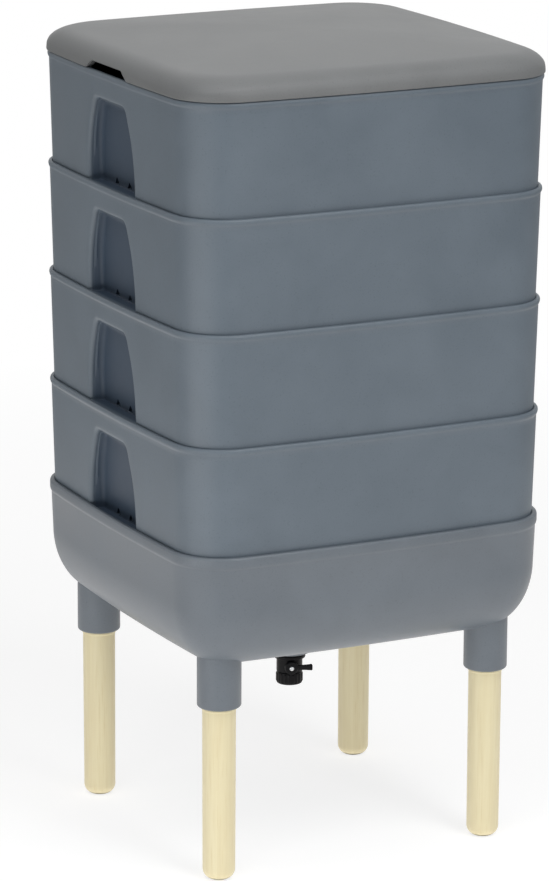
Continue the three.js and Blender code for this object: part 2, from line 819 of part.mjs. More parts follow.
const wormery = new THREE.Group();
wormery.add(named('collector_base', base(), plastic(charcoal, 0.55)));
for (const [corner, x, y] of legPlaces) {
  wormery.add(named(`leg_${corner}`, leg().translate(x, y, 0), plastic(cream, 0.5)));
}
const trayGeometry = tray();
for (let level = 0; level < trayCount; level += 1) {
  const name = `tray_${trayCount - level}`;
  const piece = named(name, trayGeometry.clone(), plastic(charcoal, 0.55));
  piece.position.z = trayFoot(level);
  wormery.add(piece);
}
wormery.add(named('lid', lid(), plastic(warmGrey, 0.6)));
wormery.add(named('tap_body', tapBody(), plastic(black, 0.4)));
wormery.add(named('tap_lever', tapLever(), plastic(black, 0.4)));
wormery.add(named('tap_outlet_collar', tapCollar(), plastic(black, 0.5)));
wormery.add(named('tap_outer_gasket', gasket(outerGasketFoot), plastic(rubber, 0.9)));
wormery.add(named('tap_inner_gasket', gasket(innerGasketFoot), plastic(rubber, 0.9)));
wormery.add(named('tap_locknut', locknut(), plastic(black, 0.45)));
wormery.add(named('tap_screw', tapScrew(), plastic(steel, 0.3)));
wormery.add(named('tap_seal_rear', plugSeal(sealPlaces[0]), plastic(rubber, 0.9)));
wormery.add(named('tap_seal_front', plugSeal(sealPlaces[1]), plastic(rubber, 0.9)));
wormery.add(named('drain_strainer', strainer(), plastic(black, 0.6)));

export default wormery;
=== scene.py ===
# %% [markdown]
# # A stacking wormery, piece by piece
# The real object is a tower of injection-moulded plastic: a domed lid, four trays that nest in
# each other and a deep basin, on four turned wooden legs, with a small black tap underneath.
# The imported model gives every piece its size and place. This script gives each piece its smooth
# surface, its rounded edges and its finish, in the same frame and in metres.

import json
import math

import bmesh
import bpy
from mathutils import Matrix, Vector


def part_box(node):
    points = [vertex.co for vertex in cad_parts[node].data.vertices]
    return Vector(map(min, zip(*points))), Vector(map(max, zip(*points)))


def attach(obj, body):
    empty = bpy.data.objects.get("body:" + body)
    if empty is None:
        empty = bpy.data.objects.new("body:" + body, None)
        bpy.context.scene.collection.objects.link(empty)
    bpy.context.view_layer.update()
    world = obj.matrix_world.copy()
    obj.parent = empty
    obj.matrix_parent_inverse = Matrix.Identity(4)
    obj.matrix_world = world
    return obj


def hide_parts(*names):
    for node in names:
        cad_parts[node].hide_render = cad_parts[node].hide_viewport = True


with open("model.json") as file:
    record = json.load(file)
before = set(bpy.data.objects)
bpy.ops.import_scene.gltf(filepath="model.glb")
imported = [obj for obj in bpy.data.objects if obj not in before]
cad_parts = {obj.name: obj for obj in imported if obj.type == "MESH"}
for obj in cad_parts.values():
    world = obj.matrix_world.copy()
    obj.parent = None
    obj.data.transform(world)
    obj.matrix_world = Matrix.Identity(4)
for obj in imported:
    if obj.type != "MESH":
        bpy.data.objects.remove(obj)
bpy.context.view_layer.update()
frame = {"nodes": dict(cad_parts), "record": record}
MM = 0.001

# %% [markdown]
# ## The camera
# The photograph is taken from the front left and a little above, with a long lens, so that the
# upright walls stay almost parallel. The camera is placed by its distance from a point in the
# middle of the stack, and a small shift puts that point where it lies in the picture.

# %% Camera
CAMERA_AZIMUTH = math.radians(-26.609)
CAMERA_ELEVATION = math.radians(14.607)
CAMERA_ROLL = math.radians(0.319)
CAMERA_DISTANCE = 4.2992
CAMERA_TARGET = Vector((0, 0, 0.3721))
LENS_MM = 183.6
SHIFT = (-0.0183, 0.0042)

back = Vector((
    math.sin(CAMERA_AZIMUTH) * math.cos(CAMERA_ELEVATION),
    -math.cos(CAMERA_AZIMUTH) * math.cos(CAMERA_ELEVATION),
    math.sin(CAMERA_ELEVATION),
))
right = Vector((math.cos(CAMERA_AZIMUTH), math.sin(CAMERA_AZIMUTH), 0))
turn = Matrix((right, back.cross(right), back)).transposed() @ Matrix.Rotation(CAMERA_ROLL, 3, "Z")
camera = bpy.data.objects.new("camera", bpy.data.cameras.new("camera"))
camera.matrix_world = Matrix.Translation(CAMERA_TARGET + back * CAMERA_DISTANCE) @ turn.to_4x4()
camera.data.lens = LENS_MM
camera.data.shift_x, camera.data.shift_y = SHIFT
camera.data.clip_end = 100
bpy.context.scene.collection.objects.link(camera)
bpy.context.scene.camera = camera
print("camera at", [round(v, 3) for v in camera.matrix_world.translation])

# %% [markdown]
# ## Colours and nodes
# Colours are written as the hex values that a colour picker shows, and one function turns them
# into the linear values that a shader works with. One function adds a node with its settings, and
# one gives a node's inputs their values or links them to whatever comes from another node.

# %% Colour and node helpers


def linear(code):
    """Turns an sRGB hex colour into linear RGBA."""
    channels = [int(code[i : i + 2], 16) / 255 for i in (1, 3, 5)]
    return (*[c / 12.92 if c <= 0.04045 else ((c + 0.055) / 1.055) ** 2.4 for c in channels], 1)


def feed(node, inputs):
    """Gives inputs, by name or number, a value, another node's output, or a node's first output."""
    for socket, value in inputs.items():
        if isinstance(value, bpy.types.Node):
            value = value.outputs[0]
        if isinstance(value, bpy.types.NodeSocket):
            node.id_data.links.new(value, node.inputs[socket])
        else:
            node.inputs[socket].default_value = value


def add(tree, kind, inputs, stops=(), **settings):
    """Adds a shader node with its settings and inputs, and with the stops of a colour ramp."""
    node = tree.nodes.new("ShaderNode" + kind)
    for name, value in settings.items():
        setattr(node, name, value)
    feed(node, inputs)
    for _ in stops[2:]:
        node.color_ramp.elements.new(0.5)
    for element, (position, code) in zip(node.color_ramp.elements if stops else (), stops):
        element.position = position
        element.color = linear(code)
    return node


def start_finish(name):
    """A new material, its node tree, its shader and its Object coordinates."""
    material = bpy.data.materials.new(name)
    material.use_nodes = True
    tree = material.node_tree
    place = add(tree, "TexCoord", {}).outputs["Object"]
    return material, tree, tree.nodes["Principled BSDF"], place


def per_metre(size_mm):
    """The scale of a noise whose grains are about this many millimetres wide."""
    return 1 / (size_mm * MM)


# %% [markdown]
# ## Moulded polypropylene
# The lid, the trays and the basin are injection-moulded recycled polypropylene. The mould is
# spark-eroded, which leaves a fine matt grain of about 0.3 mm, and recycled plastic is never
# quite even: there are faint clouds where the melt flowed and tiny darker specks. The grain
# breaks the gloss, so a highlight is wide and dull. Grain finer than a pixel would vanish, so
# it is drawn at about 1 mm. The finger grips look darker, bluer and duller than the walls, so
# painted shade goes into the trays' plastic there: a darker, bluer colour and less shine.

# %% Moulded plastic
PLASTIC_IOR = 1.49
CLOUD_MM = 70
CLOUD_RANGE = (0.3, 0.7)
SPECK_MM = 1.6
SPECK_STOPS = [(0.26, "#ebebeb"), (0.42, "#ffffff")]
GRAIN_MM = 1.1
GRAIN_DEPTH_MM = 0.035
ROUGHNESS_SPREAD = (-0.04, 0.05)
# Painted shade inside the finger grips: its dark tone, how much of it is mixed in, and the weaker shine that
# stands in for shaded gloss.
GRIP_SHADE_TONE = "#334152"
GRIP_SHADE_SHARE = 0.85
GRIP_SHADED_SHINE = 0.25

# Where the painted shade of a grip begins and where it is full, in metres from the middle of the
# tray: inwards from the mouth, outwards from the housing, along the side. Then how far a face
# has to look outwards.
GRIP_MOUTH = (0.1872, 0.1815)
GRIP_HOUSING = (0.171, 0.173)
GRIP_ALONG = (0.055, 0.052)
GRIP_FACING = (-0.35, -0.15)


def painted_grip_shade(tree, place):
    """A mask for painted shade: 1 on the faces inside the finger pockets, in the middle of the left and right
    sides.
    """
    spot = add(tree, "SeparateXYZ", {0: place})
    normal = add(tree, "SeparateXYZ", {0: add(tree, "NewGeometry", {}).outputs["Normal"]})
    across = add(tree, "Math", {0: spot.outputs["X"]}, operation="ABSOLUTE")
    along = add(tree, "Math", {0: spot.outputs["Y"]}, operation="ABSOLUTE")
    side = add(tree, "Math", {0: spot.outputs["X"]}, operation="SIGN")
    facing = add(tree, "Math", {0: normal.outputs["X"], 1: side}, operation="MULTIPLY")
    factor = 1
    ranges = ((across, GRIP_MOUTH), (across, GRIP_HOUSING), (along, GRIP_ALONG), (facing, GRIP_FACING))
    for value, (none, full) in ranges:
        share = add(tree, "MapRange", {"Value": value, "From Min": none, "From Max": full})
        factor = add(tree, "Math", {0: factor, 1: share}, operation="MULTIPLY")
    return factor


def moulded_plastic(name, dark, light, roughness, depth_mm=GRAIN_DEPTH_MM, shine=0.5, grips=False):
    """A moulded plastic or rubber, with faint clouds, specks and the fine grain of its mould."""
    material, tree, shader, place = start_finish(name)
    clouds = add(tree, "TexNoise", {
        "Vector": place, "Scale": per_metre(CLOUD_MM), "Detail": 3, "Roughness": 0.6, "Distortion": 0.4,
    })
    specks = add(tree, "TexNoise", {
        "Vector": place, "Scale": per_metre(SPECK_MM), "Detail": 2, "Roughness": 0.7,
    })
    grain = add(tree, "TexNoise", {
        "Vector": place, "Scale": per_metre(GRAIN_MM), "Detail": 2, "Roughness": 0.55,
    })
    base = add(tree, "ValToRGB", {0: clouds}, stops=list(zip(CLOUD_RANGE, (dark, light))))
    fleck = add(tree, "ValToRGB", {0: specks}, stops=SPECK_STOPS)
    colour = add(tree, "Mix", {0: 1, 6: base, 7: fleck}, data_type="RGBA", blend_type="MULTIPLY").outputs[2]
    rough = add(tree, "MapRange", {
        "Value": clouds, "From Min": CLOUD_RANGE[0], "From Max": CLOUD_RANGE[1],
        "To Min": roughness + ROUGHNESS_SPREAD[0], "To Max": roughness + ROUGHNESS_SPREAD[1],
    })
    bump = add(tree, "Bump", {"Strength": 1, "Distance": depth_mm * MM, "Height": grain})
    feed(shader, {
        "Base Color": colour, "Roughness": rough, "Normal": bump,
        "IOR": PLASTIC_IOR, "Specular IOR Level": shine,
    })
    # Painted shade in the finger grips: the colour is mixed towards a dark blue grey and the specular level
    # drops, in place of the shade and the shaded gloss of the recess.
    if grips:
        factor = painted_grip_shade(tree, place)
        tone = add(tree, "Math", {0: factor, 1: GRIP_SHADE_SHARE}, operation="MULTIPLY")
        colour = add(tree, "Mix", {0: tone, 6: colour, 7: linear(GRIP_SHADE_TONE)}, data_type="RGBA").outputs[2]
        level = add(tree, "MapRange", {"Value": factor, "To Min": shine, "To Max": GRIP_SHADED_SHINE})
        feed(shader, {"Base Color": colour, "Specular IOR Level": level})
    return material


FINISH = {
    # The trays' plastic carries the painted shade inside the finger grips.
    "tray_plastic": moulded_plastic("slate_polypropylene", "#5d6872", "#646f79", 0.45, grips=True),
    # The basin is the same plastic as the trays. Its copy is painted a touch paler and warmer, as painted
    # light from the floor below.
    "base_plastic": moulded_plastic("slate_polypropylene_basin_painted_paler", "#616971", "#687078", 0.45),
    "lid_plastic": moulded_plastic("warm_grey_polypropylene", "#6c6e6f", "#737576", 0.5),
    "tap_plastic": moulded_plastic("black_acetal", "#06070a", "#0a0b0f", 0.4, GRAIN_DEPTH_MM / 2, 0.15),
    "seal_rubber": moulded_plastic("black_nitrile_rubber", "#131313", "#191919", 0.75),
}
print("moulded finishes:", len(FINISH))

# %% [markdown]
# ## Turned wood and zinc-plated steel
# The legs are turned from a pale hardwood such as birch, sanded and left with a thin clear
# satin coat. The lathe leaves the grain running along the leg, as long fine streaks a few
# millimetres wide with darker pores between them. The tap's screw is bright zinc-plated steel.

# %% Wood and metal
STREAK_MM = 4.5
PORE_MM = 1.2
PORE_DEPTH_MM = 0.03
GRAIN_STRETCH = 0.035
SMEAR_MM = 1.5


def turned_wood(name):
    """Birch turned on a lathe, with its grain along Z and a thin satin coat."""
    material, tree, shader, place = start_finish(name)
    drawn_out = add(tree, "Mapping", {"Vector": place, "Scale": (1, 1, GRAIN_STRETCH)})
    streaks = add(tree, "TexNoise", {
        "Vector": drawn_out, "Scale": per_metre(STREAK_MM), "Detail": 4, "Distortion": 0.7,
    })
    pores = add(tree, "TexNoise", {"Vector": drawn_out, "Scale": per_metre(PORE_MM), "Detail": 2})
    tones = [(0.3, "#d7cca7"), (0.5, "#dad0ab"), (0.72, "#ddd4b1")]
    base = add(tree, "ValToRGB", {0: streaks}, stops=tones)
    fleck = add(tree, "ValToRGB", {0: pores}, stops=[(0.25, "#f0e8d2"), (0.42, "#ffffff")])
    mixed = add(tree, "Mix", {0: 0.5, 6: base, 7: fleck}, data_type="RGBA", blend_type="MULTIPLY")
    bump = add(tree, "Bump", {"Strength": 1, "Distance": PORE_DEPTH_MM * MM, "Height": pores})
    feed(shader, {
        "Base Color": mixed.outputs[2], "Normal": bump,
        "Roughness": 0.5, "Coat Weight": 0.2, "Coat Roughness": 0.35,
    })
    return material


def plated_steel(name):
    """Zinc-plated steel, bright, with a faint brushed unevenness."""
    material, tree, shader, place = start_finish(name)
    smears = add(tree, "TexNoise", {"Vector": place, "Scale": per_metre(SMEAR_MM), "Detail": 3})
    tone = add(tree, "ValToRGB", {0: smears}, stops=[(0.3, "#c4c8cc"), (0.7, "#dcdfe2")])
    rough = add(tree, "MapRange", {"Value": smears, "To Min": 0.18, "To Max": 0.34})
    feed(shader, {"Base Color": tone, "Roughness": rough, "Metallic": 1})
    return material


FINISH["leg_wood"] = turned_wood("turned_birch")
FINISH["screw_steel"] = plated_steel("zinc_plated_steel")
print("finishes:", sorted(FINISH))

# %% [markdown]
# ## Sizes
# The sizes of the mouldings are repeated here in millimetres. Heights come from the frame
# itself: the foot of each tray, the seat of the lid and the rim of the basin are read from the
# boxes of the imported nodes, so that a piece can't drift away from the node that it stands for.
# One small gap is kept wherever two pieces fit loosely.

# %% Sizes of the plan, the walls and the rims, in millimetres
PLAN_WIDTH = 375.2
PLAN_DEPTH = 364.2
CORNER_RADIUS = 48
SIDE_BOW = 3.3
TRAY_WALL = 2.6
BASE_WALL = 3.2
LID_WALL = 3
TRAY_PITCH = 106
TRAY_NEST = 23
TRAY_HEIGHT = TRAY_PITCH + TRAY_NEST
RIM_OFFSET = 2.9
FOOT_RADIUS = 3
GAP = 0.3


def low_z(node):
    """The height of a node's lowest point, in millimetres."""
    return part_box(node)[0].z / MM


def high_z(node):
    """The height of a node's highest point, in millimetres."""
    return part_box(node)[1].z / MM


def tray_offset(height):
    """How far the outside of a tray stands out of the plan at a height above its foot."""
    return (height - TRAY_NEST) * RIM_OFFSET / TRAY_PITCH


LID_SEAT = low_z("tray_1") + TRAY_HEIGHT + GAP
BASE_TOP = high_z("collector_base")
print("lid seat:", round(LID_SEAT, 1), "base rim:", round(BASE_TOP, 1))

# %% [markdown]
# ## The plan
# Every moulding of the stack follows one outline: a rounded rectangle whose sides bow out a
# little, as thin moulded walls are drawn so that they don't look hollow. A profile can then be
# swept round it. A station is a place on the outline: its point, the direction that points
# straight out of the wall there, and, on the sides with grips, the number of its column.

# %% The stations of the plan
GRIP_COLUMNS = 46
GRIP_ROWS = 40
GRIP_SPAN = 62
PLAIN_STATIONS = 8
CORNER_STATIONS = 12


def side_place(side, place):
    """The point of a side at a distance from its middle, and the direction out of the wall there."""
    away, along, out, end = side
    share = place / end
    point = away * (out + SIDE_BOW * (1 - share * share)) + along * place
    return point, (away + along * (2 * SIDE_BOW * share / end)).normalized()


def plan_sides():
    """The four sides and the angles at which the corner arcs meet them."""
    half_x, half_y = PLAN_WIDTH / 2 - SIDE_BOW, PLAN_DEPTH / 2 - SIDE_BOW
    end_x, end_y = half_x - CORNER_RADIUS, half_y - CORNER_RADIUS
    # Each round brings the arcs closer to a smooth meeting with the bowed sides.
    for _ in range(4):
        turn_x, turn_y = math.atan(2 * SIDE_BOW / end_y), math.atan(2 * SIDE_BOW / end_x)
        end_x = half_x - CORNER_RADIUS * (math.cos(turn_x) - math.sin(turn_y))
        end_y = half_y - CORNER_RADIUS * (math.cos(turn_y) - math.sin(turn_x))
    sides = []
    for quarter in range(4):
        angle = quarter * math.pi / 2
        away = Vector((math.cos(angle), math.sin(angle)))
        along = Vector((-math.sin(angle), math.cos(angle)))
        out, end = ((half_x, end_y), (half_y, end_x))[quarter % 2]
        turns = (turn_x, turn_y) if quarter % 2 == 0 else (turn_y, turn_x)
        sides.append(((away, along, out, end), turns))
    return sides


def plan_stations(with_grips):
    """The outline as stations, counterclockwise from the start of the +X side."""
    stations = []
    for quarter, (side, (first_turn, next_turn)) in enumerate(plan_sides()):
        away, along, out, end = side
        columns = GRIP_COLUMNS if with_grips and quarter % 2 == 0 else None
        if columns:
            places = [(-end, None), (-(end + GRIP_SPAN) / 2, None)]
            places += [(GRIP_SPAN * (2 * c / columns - 1), c) for c in range(columns + 1)]
            places += [((end + GRIP_SPAN) / 2, None)]
        else:
            places = [(end * (2 * i / PLAIN_STATIONS - 1), None) for i in range(PLAIN_STATIONS)]
        for place, column in places:
            point, normal = side_place(side, place)
            stations.append((point, normal, column, side))
        centre = away * (out - CORNER_RADIUS * math.cos(first_turn))
        centre += along * (end - CORNER_RADIUS * math.sin(first_turn))
        for i in range(CORNER_STATIONS):
            bend = first_turn + (math.pi / 2 - next_turn - first_turn) * i / CORNER_STATIONS
            normal = away * math.cos(bend) + along * math.sin(bend)
            stations.append((centre + normal * CORNER_RADIUS, normal, None, side))
    return stations


GRIP_PLAN = plan_stations(True)
PLAIN_PLAN = plan_stations(False)
print("stations:", len(GRIP_PLAN), "with grips,", len(PLAIN_PLAN), "without")

# %% [markdown]
# ## Sweeping a profile
# A profile is a list of rings, and each ring is a function that puts a station in space. The
# first ring is a create_circle, and each further one is an extrusion of the ring's edges, which
# is then moved to its place. The ends are closed with a flat face. A curve with a bevel profile
# would do for a plain rim, but here some rings have to leave the outline to form the grips.

# %% Rings and the sweep
MAX_INSET = 40
CORNER_CENTRE = [size / 2 - SIDE_BOW - CORNER_RADIUS for size in (PLAN_WIDTH, PLAN_DEPTH)]


def plan_ring(offset, height):
    """A ring that stands out of the plan by an offset. Past the largest inset it is shrunk instead."""
    moved = max(offset, -MAX_INSET)
    scale = (PLAN_DEPTH / 2 + offset) / (PLAN_DEPTH / 2 + moved)
    return lambda station: (*((station[0] + station[1] * moved) * scale), height)


def plan_rings(points):
    """A ring of the plan for each (offset, height) point of a profile."""
    return [plan_ring(*point) for point in points]


def steady_ring(base, offset, height, tighten, scale=1):
    """A ring moved in from a base offset. Its corners tighten by a share of that move."""

    def place(station):
        point, normal = station[:2]
        inward = Vector([min(max(p / c, -1), 1) for p, c in zip(point, CORNER_CENTRE)])
        inward = inward.lerp(normal, tighten)
        return (*((point + normal * base + inward * (offset - base)) * scale), height)

    return place


def round_ring(radius, height):
    """A circle with the plan's stations, so that it can be joined to a ring of the plan."""

    def place(station):
        angle = math.atan2(station[0].y / PLAN_DEPTH, station[0].x / PLAN_WIDTH)
        return radius * math.cos(angle), radius * math.sin(angle), height

    return place


def between(first, second, share):
    """A ring part of the way from one ring to another."""
    return lambda station: Vector(first(station)).lerp(Vector(second(station)), share)


def ring_edges(bm, ring):
    """The edges that join a ring's neighbours."""
    return [bm.edges.get((ring[i - 1], ring[i])) for i in range(len(ring))]


def next_ring(bm, ring):
    """Extrudes a ring's edges and returns the new ring in the same order."""
    grown = bmesh.ops.extrude_edge_only(bm, edges=ring_edges(bm, ring))
    fresh = {item for item in grown["geom"] if isinstance(item, bmesh.types.BMVert)}
    return [next(e.other_vert(v) for e in v.link_edges if e.other_vert(v) in fresh) for v in ring]


def sweep(stations, rings, joined=False):
    """A closed body through rings of stations: its ends are capped, or joined to each other."""
    bm = bmesh.new()
    ring = bmesh.ops.create_circle(bm, cap_ends=False, radius=1, segments=len(stations))["verts"]
    first = ring
    for level, place in enumerate(rings):
        if level:
            ring = next_ring(bm, ring)
        for station, vertex in zip(stations, ring):
            vertex.co = Vector(place(station)) * MM
    if joined:
        bmesh.ops.bridge_loops(bm, edges=ring_edges(bm, first) + ring_edges(bm, ring))
    else:
        bmesh.ops.contextual_create(bm, geom=ring_edges(bm, first))
        bmesh.ops.contextual_create(bm, geom=ring_edges(bm, ring))
    bmesh.ops.recalc_face_normals(bm, faces=bm.faces)
    return bm


def arc(centre, radii, start, end, steps):
    """Points of an arc, as (offset, height) pairs, between two angles in degrees, with one radius or two."""
    across, up = radii if isinstance(radii, tuple) else (radii, radii)
    angles = [math.radians(start + (end - start) * i / steps) for i in range(steps + 1)]
    return [(centre[0] + across * math.cos(a), centre[1] + up * math.sin(a)) for a in angles]


# %% [markdown]
# ## Making a finished object
# A piece's mesh is written at its place in the frame, while its object stays at the origin.
# Edges sharper than a set angle stay crisp, and all the rest is shaded smooth. Every piece
# rides on a body, stands for a node and takes its finish from one of the record's slots.

# %% From bmesh to a finished piece
BODY_OF = {node: body for body, nodes in frame["record"]["behaviour"]["bodies"].items() for node in nodes}
SLOT_OF = {part["node"]: part["material_slot"] for part in frame["record"]["subparts"]}
WELD = 0.005 * MM
FINE_WELD = 0.002 * MM


def as_object(name, bm):
    """Writes a bmesh to a new object at the origin."""
    mesh = bpy.data.meshes.new(name)
    bm.to_mesh(mesh)
    bm.free()
    thing = bpy.data.objects.new(name, mesh)
    bpy.context.scene.collection.objects.link(thing)
    return thing


def piece(bm, node, sharp=35):
    """Makes the finished piece that stands for a node."""
    thing = as_object(node + "_moulding" if "plastic" in SLOT_OF[node] else node + "_piece", bm)
    thing.data.shade_smooth()
    thing.data.set_sharp_from_angle(angle=math.radians(sharp))
    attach(thing, BODY_OF[node])
    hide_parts(node)
    thing.data.materials.append(FINISH[SLOT_OF[node]])
    triangles = sum(len(face.vertices) - 2 for face in thing.data.polygons)
    print(thing.name, "triangles:", triangles)


def boolean(bm, tool, mode="DIFFERENCE"):
    """Cuts a bmesh with another, or joins them, and returns the result as a new bmesh."""
    whole, other = as_object("whole", bm), as_object("tool", tool)
    modifier = whole.modifiers.new("boolean", "BOOLEAN")
    modifier.operation, modifier.solver, modifier.object = mode, "EXACT", other
    result = bmesh.new()
    result.from_object(whole, bpy.context.evaluated_depsgraph_get())
    for thing in (whole, other):
        mesh = thing.data
        bpy.data.objects.remove(thing)
        bpy.data.meshes.remove(mesh)
    bmesh.ops.remove_doubles(result, verts=result.verts, dist=WELD)
    return result


# %% [markdown]
# ## The grips: edge loops that follow the arch
# Each tray has a finger pocket in two opposite sides: an arched recess with a softly rounded
# mouth, a flat back and a level shelf at its foot. A Boolean would leave a hard seam where the
# mouth meets the wall, so the pocket is drawn the way a subdivision modeller would: the wall's
# own grid of columns and rows is bent until its loops run round the arch, and each loop is
# pushed in to its own depth. Loop 0 is the plain rectangle that joins the rest of the wall.

# %% Sizes of the grip pocket, in millimetres
SHELF = TRAY_NEST - 1.5
SHELF_FILLET = 1
SHELF_EDGE = 0.8
ARCH_TOP = TRAY_HEIGHT - 25.9
ARCH_FLAT = 25
ARCH_EASE = (9, 10.5)
FOOT_HALF = 49.7
LEG_CURVE = 12
LEG_POWER = 2.6
LEG_RISE = 69
LEG_TOP = 66
DEPTH_AT_FOOT = 13.5
DEPTH_AT_HEAD = 10.5
MOUTH_RADIUS = 5
BACK_RADIUS = 5.5
SIDE_SLANT = 2
FLAT_LOOPS = 3
MOUTH_STEPS = 6
BACK_STEPS = 4
WARP_TOP = TRAY_HEIGHT - 11.6
LEG_POINTS = 24
BEND_POINTS = 24
FLAT_POINTS = 6


def grip_depth(height):
    """How deep the back of the pocket lies behind the wall, at a height above the tray's foot."""
    share = (height - SHELF) / (ARCH_TOP - SHELF)
    return DEPTH_AT_FOOT + (DEPTH_AT_HEAD - DEPTH_AT_FOOT) * min(max(share, 0), 1)


def leg_half(height):
    """Half the width between the arch's legs, which lean in faster and faster."""
    return FOOT_HALF - LEG_CURVE * (max(height - SHELF, 0) / LEG_RISE) ** LEG_POWER


def arch_half(foot, inset):
    """The right half of the arch, as two runs of points: up the leg, and over to the middle."""
    leg_end = SHELF + LEG_TOP
    start = Vector((leg_half(leg_end), leg_end))
    rise = (start - Vector((leg_half(leg_end - 1), leg_end - 1))).normalized()
    knots = (start, start + rise * ARCH_EASE[0], Vector((ARCH_FLAT + ARCH_EASE[1], ARCH_TOP)),
             Vector((ARCH_FLAT, ARCH_TOP)))
    heights = [foot + (leg_end - foot) * i / LEG_POINTS for i in range(LEG_POINTS)]
    path = [Vector((leg_half(height), height)) for height in heights]
    for i in range(BEND_POINTS + 1):
        t = i / BEND_POINTS
        weights = ((1 - t) ** 3, 3 * t * (1 - t) ** 2, 3 * t * t * (1 - t), t**3)
        path.append(sum((k * w for k, w in zip(knots, weights)), Vector((0, 0))))
    path += [Vector((ARCH_FLAT * (1 - i / FLAT_POINTS), ARCH_TOP)) for i in range(1, FLAT_POINTS + 1)]
    moved = []
    for i, point in enumerate(path):
        way = (path[min(i + 1, len(path) - 1)] - path[max(i - 1, 0)]).normalized()
        shifted = point + Vector((-way.y, way.x)) * inset
        moved.append(Vector((max(shifted.x, 0), max(shifted.y, foot))))
    moved[-1].x = 0
    shoulder = LEG_POINTS + BEND_POINTS // 2
    return moved[: shoulder + 1], moved[shoulder:]


def along_path(path, share):
    """The point at a share of a path's length."""
    lengths = [(b - a).length for a, b in zip(path, path[1:])]
    left = share * sum(lengths)
    for start, end, length in zip(path, path[1:], lengths):
        if left <= length:
            return start.lerp(end, left / length if length else 0)
        left -= length
    return path[-1].copy()


def grip_loops(wall):
    """The loops from the wall to the back: inset from the arch, depth from the wall or the back."""
    loops = [(-MOUTH_RADIUS, wall, None)] * FLAT_LOOPS
    radius = MOUTH_RADIUS - wall
    for i in range(MOUTH_STEPS + 1):
        angle = i / MOUTH_STEPS * math.pi / 2
        loops.append((radius * math.sin(angle) - MOUTH_RADIUS, MOUTH_RADIUS - radius * math.cos(angle), None))
    radius = BACK_RADIUS + wall
    for i in range(BACK_STEPS + 1):
        angle = i / BACK_STEPS * math.pi / 2
        inset = SIDE_SLANT + BACK_RADIUS - radius * math.cos(angle)
        loops.append((inset, None, BACK_RADIUS - radius * math.sin(angle)))
    return loops


def grip_grid(foot, wall):
    """Where each (column, row) of the bent grid lies: along the side, up, and how deep behind the wall."""
    grid = {}
    loops = grip_loops(wall)
    half = GRIP_COLUMNS // 2
    for k, (inset, from_wall, from_back) in enumerate(loops):
        leg, top = arch_half(foot, inset)
        blend = min(k / FLAT_LOOPS, 1)
        for row in range(GRIP_ROWS - k + 1):
            share = row / (GRIP_ROWS - k)
            plain = Vector((GRIP_SPAN, foot + (WARP_TOP - foot) * share))
            grid[k, row] = (plain.lerp(along_path(leg, share), blend), from_wall, from_back)
        for column in range(k, half + 1):
            share = (column - k) / (half - k)
            plain = Vector((GRIP_SPAN * (1 - column / half), WARP_TOP))
            grid[column, GRIP_ROWS - k] = (plain.lerp(along_path(top, share), blend), from_wall, from_back)
    last = len(loops) - 1
    height = GRIP_ROWS - last
    heel, shoulder, crest = grid[last, 0][0].x, grid[last, height][0], grid[half, height][0]
    for column in range(last + 1, half + 1):
        u = (column - last) / (half - last)
        above = grid[column, height][0]
        floor = Vector((heel * (1 - u), foot))
        for row in range(height):
            v = row / height
            middle = Vector((0, foot + (crest.y - foot) * v))
            straight = floor.lerp(above, v) + grid[last, row][0].lerp(middle, u)
            below = Vector((heel, foot)).lerp(Vector((0, foot)), u)
            grid[column, row] = (straight - below.lerp(shoulder.lerp(crest, u), v), None, -wall)
    return grid


def grip_row(grid, row, skin=0, height=None, most=math.inf, less=math.inf):
    """A ring of the wall along one row of the bent grid, or moved to a height of its own.

    It goes in no deeper than one limit, or by another less than the grid, whichever is deeper.
    """

    def place(station):
        point, normal, column, side = station
        if column is None:
            level = height if height is not None else grid[0, row][0].y
            return (*(point + normal * (tray_offset(level) - skin)), level)
        spot, from_wall, from_back = grid[min(column, GRIP_COLUMNS - column), row]
        level = height if height is not None else spot.y
        inward = from_wall if from_back is None else grip_depth(level) - from_back
        inward = max(inward - less, min(inward, most))
        sign = 1 if column > GRIP_COLUMNS / 2 else -1
        point, normal = side_place(side, spot.x * sign)
        return (*(point + normal * tray_offset(level) - side[0] * inward), level)

    return place


OUTER_GRID = grip_grid(SHELF + SHELF_FILLET, 0)
INNER_GRID = grip_grid(SHELF - TRAY_WALL, TRAY_WALL)
print("grid points of one half of a grip:", len(OUTER_GRID))

# %% [markdown]
# ## The tray
# The wall leans out a little, so that the mould releases the tray and one tray nests in the
# next. The rim is rolled into a bead, which stiffens it and gives the lid or the next tray a
# soft edge to meet. The profile runs up the outside, over the bead and down the inside, and the
# rows of the bent grid take the place of plain rings between the shelf and the arch.

# %% The tray's profile
# The foot of the bead as (offset from the plan, depth below the top), then its two arcs.
TRAY_BEAD = ((2.95, 6.3), (3.25, 5.7), (3.6, 5.1), (3.85, 4.5), (4, 3.8), (4.08, 3))
TRAY_BEAD_OUT = ((2.3, TRAY_HEIGHT - 2.4), (1.8, 2.4))
TRAY_BEAD_IN = ((1.1, TRAY_HEIGHT - 0.8), 0.8)
BEAD_DROP = 7
WALL_LEVELS = (9, 16)
INNER_LEVEL = 10

# Where a ring lies between the two ends of the shelf's edge or of its fillet, how far the two
# rings under the shelf stand off the wall and the shelf, and the least rise between two rings.
EASE = 0.3
UNDER_EASE = (0.4, 0.5)
HAIR = 0.01


